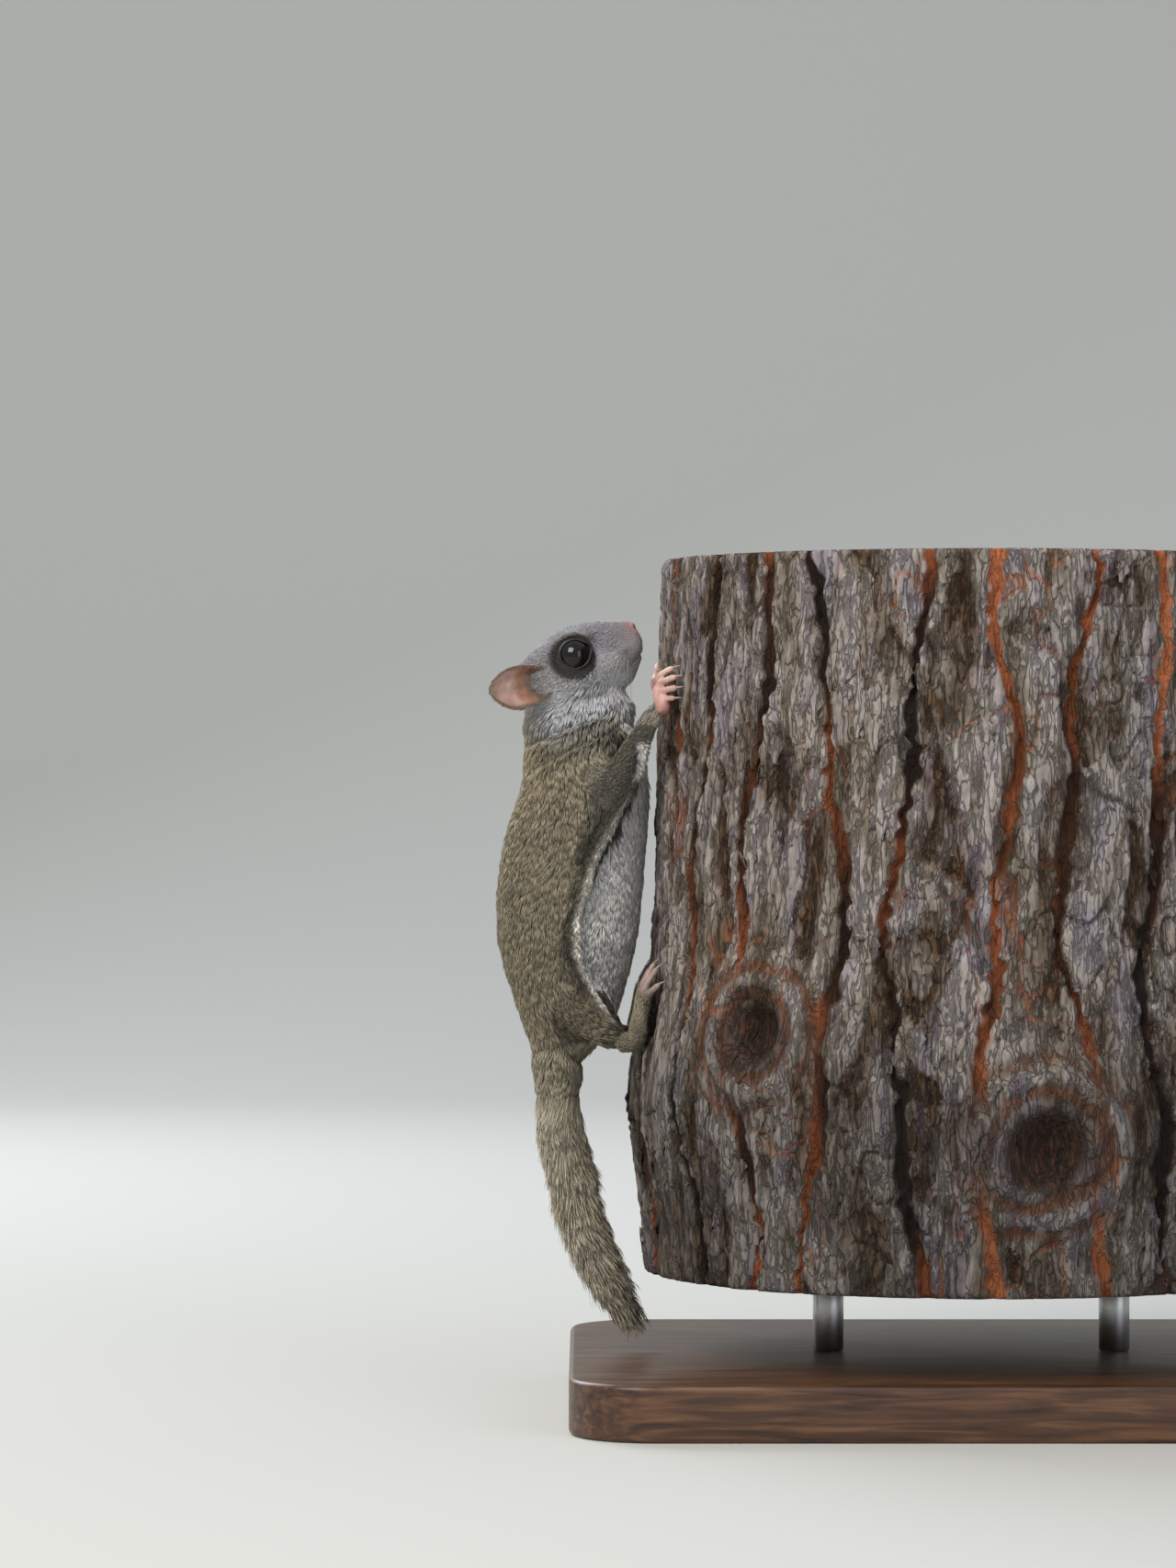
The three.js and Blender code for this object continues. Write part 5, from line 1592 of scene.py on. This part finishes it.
def bark_half(name, start, stop, wide, high):
    """A closed half of the log: displaced outer face, flat end faces and a flat inner wall."""
    heights = np.linspace(TRUNK["bottom"], TRUNK["top"], high)
    a, z = (grid.ravel() for grid in np.meshgrid(np.linspace(start, stop, wide), heights))
    lift, deep, layers, knotty = bark_relief(a, z)
    from_end = np.minimum(z - TRUNK["bottom"], TRUNK["top"] - z)
    radius = trunk_radius(a, z) + np.minimum(lift, 0.45) - 0.9 * np.exp(-from_end / 0.7)
    outer = np.stack([-radius * np.cos(a), -radius * np.sin(a), z], 1)
    pith = np.stack([np.zeros(high), np.zeros(high), heights], 1)
    points = np.vstack([outer, pith])
    i, j = np.meshgrid(np.arange(high - 1), np.arange(wide - 1), indexing="ij")
    p = (i * wide + j).ravel()
    faces = [np.stack([p, p + 1, p + wide + 1], 1), np.stack([p, p + wide + 1, p + wide], 1)]
    rows = np.arange(high - 1)
    left, right, middle = rows * wide, rows * wide + wide - 1, high * wide + rows
    faces += [np.stack([left, left + wide, middle + 1], 1), np.stack([left, middle + 1, middle], 1)]
    faces += [np.stack([right, middle, middle + 1], 1), np.stack([right, middle + 1, right + wide], 1)]
    rim = np.arange(wide - 1)
    low, top = high * wide, high * wide + high - 1
    last = (high - 1) * wide
    faces += [np.stack([rim + 1, rim, np.full(wide - 1, low)], 1)]
    faces += [np.stack([last + rim, last + rim + 1, np.full(wide - 1, top)], 1)]
    faces = np.vstack(faces)
    corner = points[faces]
    if np.einsum("ij,ij->i", corner[:, 0], np.cross(corner[:, 1], corner[:, 2])).sum() < 0:
        faces = faces[:, ::-1]
    mesh = mesh_from(name, points, faces)
    for layer, values in (("deep", deep), ("layer", layers), ("knot", knotty)):
        store(mesh, layer, np.concatenate([values, np.zeros(high)]))
    middle_z = points[faces][:, :, 2].mean(1)
    at_end = np.minimum(middle_z - TRUNK["bottom"], TRUNK["top"] - middle_z) < 0.02
    ends = (at_end & (np.abs(upright_share(points, faces)) > 0.9)).astype(np.int32)
    return object_from(name, mesh), ends


print("bark stands", TRUNK["furrows"], "plates round the log")


# %% [markdown]
# The colour of bark follows its relief: weathered grey on the outer flakes, brown where a flake has
# broken off, orange-red deep in the furrows and almost black in the cracks. Thin dark lines along the
# edges of the scales are painted shade.

# %% Bark and cut wood materials
# dry flaky bark: rough, dusty grey on top with warm fresh wood in the gaps
bark, tree, shader = new_material("flaky_pine_bark")
place = add_node(tree, "ShaderNodeTexCoord").outputs["Object"]
drawn_up = add_node(tree, "ShaderNodeMapping", None, {"Vector": place, "Scale": (1.0, 1.0, 0.3)})
patch, fine, streak, bent = [
    add_node(tree, "ShaderNodeTexNoise", None, {
        "Vector": drawn_up.outputs["Vector"], "Scale": 1 / (lump * MM), "Detail": detail, "Roughness": rough,
    })
    for lump, detail, rough in [(11, 6.0, 0.65), (1.4, 5.0, 0.7), (26, 3.0, 0.5), (4, 3.0, 0.5)]
]
weathered, fresh, glow, specks, resin = [
    add_node(tree, "ShaderNodeValToRGB", None, {"Fac": source.outputs["Fac"]}, stops).outputs["Color"]
    for source, stops in [
        (patch, [(0.28, "#564b3d"), (0.42, "#857c70"), (0.52, "#aba49f"), (0.62, "#918a94"),
                 (0.75, "#665a49")]),
        (fine, [(0.3, "#2a1d14"), (0.48, "#463424"), (0.62, "#5f4b38"), (0.8, "#7c6a57")]),
        (streak, [(0.38, "#1c120b"), (0.47, "#3a2010"), (0.54, "#7a4327"), (0.66, "#b06a44")]),
        (fine, [(0.3, "#6b6058"), (0.5, "#c9c3bd"), (0.7, "#ffffff")]),
        (fine, [(0.35, "#15110c"), (0.5, "#2b2119"), (0.62, "#48291e"), (0.75, "#59533f")]),
    ]
]
layer, deep, knot = [add_node(tree, "ShaderNodeAttribute", {"attribute_name": name}).outputs["Fac"]
                     for name in ("layer", "deep", "knot")]
on_top = add_node(tree, "ShaderNodeMapRange", None, {"Value": layer, "From Min": 0.35, "From Max": 1.5})
in_crack = add_node(tree, "ShaderNodeMapRange", None, {"Value": deep, "From Min": 0.05, "From Max": 0.5})
surface = add_node(tree, "ShaderNodeMix", {"data_type": "RGBA"},
                   {"Factor": on_top.outputs["Result"], "A": fresh, "B": weathered})
speckled = add_node(tree, "ShaderNodeMix", {"data_type": "RGBA", "blend_type": "MULTIPLY"},
                    {"Factor": 0.55, "A": surface.outputs["Result"], "B": specks})
print("colours of", bark.name, "made")

# %% Bark scales
# two sizes of long scales on coordinates bent by noise; their thin dark edges are painted shade in the cracks
# between flakes
bend = add_node(tree, "ShaderNodeVectorMath", {"operation": "SCALE"},
                {"Vector": bent.outputs["Color"], "Scale": 9 * MM})
steep = add_node(tree, "ShaderNodeMapping", None, {"Vector": place, "Scale": (1.0, 1.0, 0.17)})
flaked = add_node(tree, "ShaderNodeVectorMath", {"operation": "ADD"},
                  {0: steep.outputs["Vector"], 1: bend.outputs["Vector"]})
gaps = []
for size, reach in ((6.5, 0.07), (3.1, 0.09)):
    edge = add_node(tree, "ShaderNodeTexVoronoi", {"feature": "DISTANCE_TO_EDGE"},
                    {"Vector": flaked.outputs["Vector"], "Scale": 1 / (size * MM)})
    gaps.append(add_node(tree, "ShaderNodeMapRange", None,
                         {"Value": edge.outputs["Distance"], "From Min": 0.0, "From Max": reach}))
scaly = add_node(tree, "ShaderNodeMath", {"operation": "MULTIPLY"},
                 {0: gaps[0].outputs["Result"], 1: gaps[1].outputs["Result"]})
# painted shade: the colour is darkened to 0.42 along the edges of the scales
painted_crack_shade = add_node(tree, "ShaderNodeMapRange", None,
                 {"Value": scaly.outputs[0], "To Min": 0.42, "To Max": 1.0})
drawn = add_node(tree, "ShaderNodeVectorMath", {"operation": "SCALE"},
                 {"Vector": speckled.outputs["Result"], "Scale": painted_crack_shade.outputs["Result"]})
cracked = add_node(tree, "ShaderNodeMix", {"data_type": "RGBA"},
                   {"Factor": in_crack.outputs["Result"], "A": drawn.outputs["Vector"], "B": glow})
height_of = add_node(tree, "ShaderNodeSeparateXYZ", None, {"Vector": place})
# the bark's colour is made darker towards the bottom of the log, by height alone
darker_low = add_node(tree, "ShaderNodeMapRange", {"interpolation_type": "SMOOTHSTEP"}, {
    "Value": height_of.outputs["Z"], "From Min": 80 * MM, "From Max": 136 * MM, "To Min": 0.62, "To Max": 1.0,
})
foot_dark = add_node(tree, "ShaderNodeVectorMath", {"operation": "SCALE"},
                     {"Vector": cracked.outputs["Result"], "Scale": darker_low.outputs["Result"]})
knotted = add_node(tree, "ShaderNodeMix", {"data_type": "RGBA"},
                   {"Factor": knot, "A": foot_dark.outputs["Vector"], "B": resin})
rough_height = add_node(tree, "ShaderNodeMath", {"operation": "MULTIPLY_ADD"},
                        {0: fine.outputs["Fac"], 1: 0.6, 2: scaly.outputs[0]})
bark_bump = add_node(tree, "ShaderNodeBump", None,
                     {"Height": rough_height.outputs[0], "Strength": 0.9, "Distance": 0.6 * MM})
set_inputs(tree, shader, {
    "Base Color": knotted.outputs["Result"], "Normal": bark_bump.outputs["Normal"],
    "Roughness": 0.88, "Specular IOR Level": 0.25,
})

# sawn pine end: pale wood with darker yearly rings
sawn, tree, shader = new_material("sawn_pine_end")
place = add_node(tree, "ShaderNodeTexCoord").outputs["Object"]
flat = add_node(tree, "ShaderNodeMapping", None, {"Vector": place, "Scale": (1.0, 1.0, 0.0)})
years = add_node(tree, "ShaderNodeTexWave", {"wave_type": "RINGS", "rings_direction": "SPHERICAL"}, {
    "Vector": flat.outputs["Vector"], "Scale": 95.0, "Distortion": 1.6, "Detail": 2.0, "Detail Scale": 1.5,
})
rings = add_node(tree, "ShaderNodeValToRGB", None, {"Fac": years.outputs["Fac"]},
                 [(0.0, "#c8a978"), (0.7, "#b89260"), (0.95, "#8f6a3f")])
set_inputs(tree, shader, {"Base Color": rings.outputs["Color"], "Roughness": 0.75})
print("made", bark.name, "and", sawn.name)

# %% Log
HALVES = [
    # name, first and last angle, points round and up; the half that faces the camera is finer
    ("bark_right", 0.0, np.pi, 360, 262), ("bark_left", -np.pi, 0.0, 250, 180),
]
for name, start, stop, wide, high in HALVES:
    log, ends = bark_half(name, start, stop, wide, high)
    finish_piece(log, bark, ["trunk"])
    log.data.materials.append(sawn)
    log.data.polygons.foreach_set("material_index", ends)
    log.data.polygons.foreach_set("use_smooth", ends == 0)

# %% [markdown]
# Loose flakes stand off the bark here and there. One flake is spread over the log by Geometry
# Nodes, which follow the surface better than placing each one by hand.

# %% Loose flakes
def flake_mesh():
    """A thin curled scale with a closed, irregular outline, lying flat on XY."""
    turn = 2 * np.pi * np.arange(9) / 9
    edge = 1 + 0.25 * np.sin(3 * turn + 1) + 0.15 * np.cos(5 * turn)
    x, y = 1.5 * edge * np.cos(turn), 2.9 * edge * np.sin(turn)
    curl = 0.10 * (x * x)
    top = np.stack([x, y, curl + 0.22], 1)
    low = np.stack([0.94 * x, 0.94 * y, curl], 1)
    return loft(np.stack([low, top]))


flake = object_from("flake_pattern", mesh_from("flake_pattern", *flake_mesh(), smooth=False))
flake.data.materials.append(bark)
flake.hide_render = True
flake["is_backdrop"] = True
print("a flake has", len(flake.data.polygons), "faces")


# %% [markdown]
# A node tree could not know where the animal is, so the script marks the free bark with a number on
# each point, and the tree spreads flakes only where that number is 1.

# %% Spreading the flakes
def clear_zone(points):
    """1 where a flake may sit: clear of the animal, the log's ends and its furrows."""
    angle = np.arctan2(-points[:, 1], -points[:, 0])
    near_animal = (np.abs(angle) < 0.62) & (points[:, 2] > 98)
    near_end = np.minimum(points[:, 2] - TRUNK["bottom"], TRUNK["top"] - points[:, 2]) < 5
    return np.where(near_animal | near_end, 0.0, 1.0)


FLAKES_PER_SQUARE_METRE = 6000.0
FLAKE_SEED = 5


def flake_tree():
    """Spreads a pattern over a surface, turned the way the surface faces and varied in size."""
    tree = bpy.data.node_groups.new("loose_flakes", "GeometryNodeTree")
    for name, kind, value in [
            ("Geometry", "NodeSocketGeometry", None), ("Pattern", "NodeSocketObject", None),
            ("Per square metre", "NodeSocketFloat", FLAKES_PER_SQUARE_METRE),
            ("Seed", "NodeSocketInt", FLAKE_SEED), ("Finish", "NodeSocketMaterial", None)]:
        socket = tree.interface.new_socket(name, in_out="INPUT", socket_type=kind)
        if value is not None:
            socket.default_value = value
    tree.interface.new_socket("Geometry", in_out="OUTPUT", socket_type="NodeSocketGeometry")
    given = add_node(tree, "NodeGroupInput").outputs
    zone = add_node(tree, "GeometryNodeInputNamedAttribute", {"data_type": "FLOAT"}, {"Name": "flake_zone"})
    thick = add_node(tree, "ShaderNodeMath", {"operation": "MULTIPLY"},
                     {0: zone.outputs["Attribute"], 1: given["Per square metre"]})
    spread_out = add_node(tree, "GeometryNodeDistributePointsOnFaces", None,
                          {"Mesh": given["Geometry"], "Density": thick.outputs[0], "Seed": given["Seed"]})
    pattern = add_node(tree, "GeometryNodeObjectInfo", None, {"Object": given["Pattern"]})
    size = add_node(tree, "FunctionNodeRandomValue", {"data_type": "FLOAT"},
                    {2: 0.6, 3: 1.5, "Seed": given["Seed"]})
    placed = add_node(tree, "GeometryNodeInstanceOnPoints", None,
                      {"Points": spread_out.outputs["Points"], "Instance": pattern.outputs["Geometry"],
                       "Rotation": spread_out.outputs["Rotation"], "Scale": size.outputs[1]})
    real = add_node(tree, "GeometryNodeRealizeInstances", None, {"Geometry": placed.outputs["Instances"]})
    dressed = add_node(tree, "GeometryNodeSetMaterial", None,
                       {"Geometry": real.outputs["Geometry"], "Material": given["Finish"]})
    add_node(tree, "NodeGroupOutput", None, {"Geometry": dressed.outputs["Geometry"]})
    return tree


print("about", round(FLAKES_PER_SQUARE_METRE / 1e4, 1), "flakes on a square centimetre at most")


# %% Flakes on the log
def baked(name, base, tree, values):
    """Runs a node tree on a copy of a base mesh and keeps only the result."""
    carrier = object_from("carrier", base.copy())
    nodes = carrier.modifiers.new("nodes", "NODES")
    nodes.node_group = tree
    for item in tree.interface.items_tree:
        if item.in_out == "INPUT" and item.name in values:
            nodes[item.identifier] = values[item.name]
    graph = bpy.context.evaluated_depsgraph_get()
    mesh = bpy.data.meshes.new_from_object(carrier.evaluated_get(graph), depsgraph=graph)
    bpy.data.objects.remove(carrier)
    return object_from(name, mesh)


carrier_mesh = bpy.data.objects["bark_right"].data.copy()
zone_points, _ = arrays_of(carrier_mesh)
on_bark = np.hypot(zone_points[:, 0], zone_points[:, 1]) > 80
store(carrier_mesh, "flake_zone", clear_zone(zone_points) * on_bark)
flakes = baked("loose_flakes", carrier_mesh, flake_tree(), {
    "Pattern": flake, "Per square metre": FLAKES_PER_SQUARE_METRE, "Seed": FLAKE_SEED, "Finish": bark,
})
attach(flakes, "root")
bpy.data.objects.remove(flake)
print("loose flakes", len(flakes.data.polygons), "faces")

# %% [markdown]
# The stand is as plain as a museum's: an oiled wooden slab with a softened edge, and two short
# steel rods that hold the log up so that the tail hangs clear.

# %% Stand
BASE_LONG, BASE_WIDE, BASE_HIGH, BASE_CORNER, BASE_EDGE = 236.0, 190.0, 16.0, 24.0, 1.6
ROD_RADIUS, ROD_OFFSET = 4.5, 42.0


def slab_ring(inset, z, per_corner=14):
    """One outline of the slab with rounded corners, drawn in by `inset`."""
    radius = BASE_CORNER - inset
    ring = []
    for k, (sx, sy) in enumerate([(1, 1), (-1, 1), (-1, -1), (1, -1)]):
        centre = np.array([sx * (BASE_LONG / 2 - BASE_CORNER), sy * (BASE_WIDE / 2 - BASE_CORNER)])
        turn = np.pi / 2 * (k + np.linspace(0, 1, per_corner))
        ring += [(*(centre + radius * np.array([np.cos(t), np.sin(t)])), z) for t in turn]
    return ring


turn = np.linspace(0, np.pi / 2, 6)
levels = [(BASE_EDGE * (1 - np.sin(t)), BASE_EDGE * (1 - np.cos(t))) for t in turn]
levels += [(inset, BASE_HIGH - height) for inset, height in reversed(levels)]
slab = np.array([slab_ring(inset, z) for inset, z in levels])


def rod(x):
    """A rod with slightly bevelled ends, just clear of the slab and the log."""
    turn = 2 * np.pi * np.arange(48) / 48
    heights = [BASE_HIGH + 0.3, BASE_HIGH + 0.5, TRUNK["bottom"] - 0.5, TRUNK["bottom"] - 0.3]
    rings = [[(x + r * np.cos(t), r * np.sin(t), z) for t in turn]
             for z, r in zip(heights, (ROD_RADIUS - 0.2, ROD_RADIUS, ROD_RADIUS, ROD_RADIUS - 0.2))]
    return loft(np.array(rings))


print("slab of", len(slab), "rings,", BASE_LONG, "by", BASE_WIDE, "mm")

# %% [markdown]
# Oiled walnut is dark with a long figure, and a turned rod keeps the fine rings of the brush. Both
# are noise that is drawn out along the grain, because a photographed grain would repeat.

# %% Finishes of the stand
# dark oiled walnut with a satin shine and long grain
walnut, tree, shader = new_material("oiled_walnut")
place = add_node(tree, "ShaderNodeTexCoord").outputs["Object"]
long_grain = add_node(tree, "ShaderNodeMapping", None, {"Vector": place, "Scale": (0.08, 1.0, 1.0)})
grain = add_node(tree, "ShaderNodeTexNoise", None, {
    "Vector": long_grain.outputs["Vector"], "Scale": 1 / (2.4 * MM), "Detail": 6.0, "Distortion": 0.6,
})
figure = add_node(tree, "ShaderNodeValToRGB", None, {"Fac": grain.outputs["Fac"]},
                  [(0.3, "#2a1a11"), (0.5, "#49301f"), (0.7, "#6a4a31")])
pores = add_node(tree, "ShaderNodeBump", None,
                 {"Height": grain.outputs["Fac"], "Strength": 0.15, "Distance": 0.1 * MM})
set_inputs(tree, shader, {
    "Base Color": figure.outputs["Color"], "Normal": pores.outputs["Normal"], "Roughness": 0.38,
})

# brushed steel: soft vertical highlight from a fine turned grain
steel, tree, shader = new_material("brushed_steel")
place = add_node(tree, "ShaderNodeTexCoord").outputs["Object"]
turned = add_node(tree, "ShaderNodeMapping", None, {"Vector": place, "Scale": (0.1, 0.1, 1.0)})
brush = add_node(tree, "ShaderNodeTexNoise", None,
                 {"Vector": turned.outputs["Vector"], "Scale": 1 / (0.3 * MM)})
worn = add_node(tree, "ShaderNodeMapRange", None,
                {"Value": brush.outputs["Fac"], "To Min": 0.24, "To Max": 0.42})
set_inputs(tree, shader, {
    "Base Color": rgba("#b9b9b6"), "Metallic": 1.0, "Roughness": worn.outputs["Result"],
})

print("made", walnut.name, "and", steel.name)

# %% Stand pieces
base = object_from("base_slab", mesh_from("base_slab", *loft(slab)))
finish_piece(base, walnut, ["stand_base"])
for label, x in (("left", -ROD_OFFSET), ("right", ROD_OFFSET)):
    name = f"steel_rod_{label}"
    finish_piece(object_from(name, mesh_from(name, *rod(x))), steel, [f"stand_rod_{label}"])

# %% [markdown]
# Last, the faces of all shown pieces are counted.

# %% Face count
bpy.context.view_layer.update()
faces = sum(len(piece.data.polygons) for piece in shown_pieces())
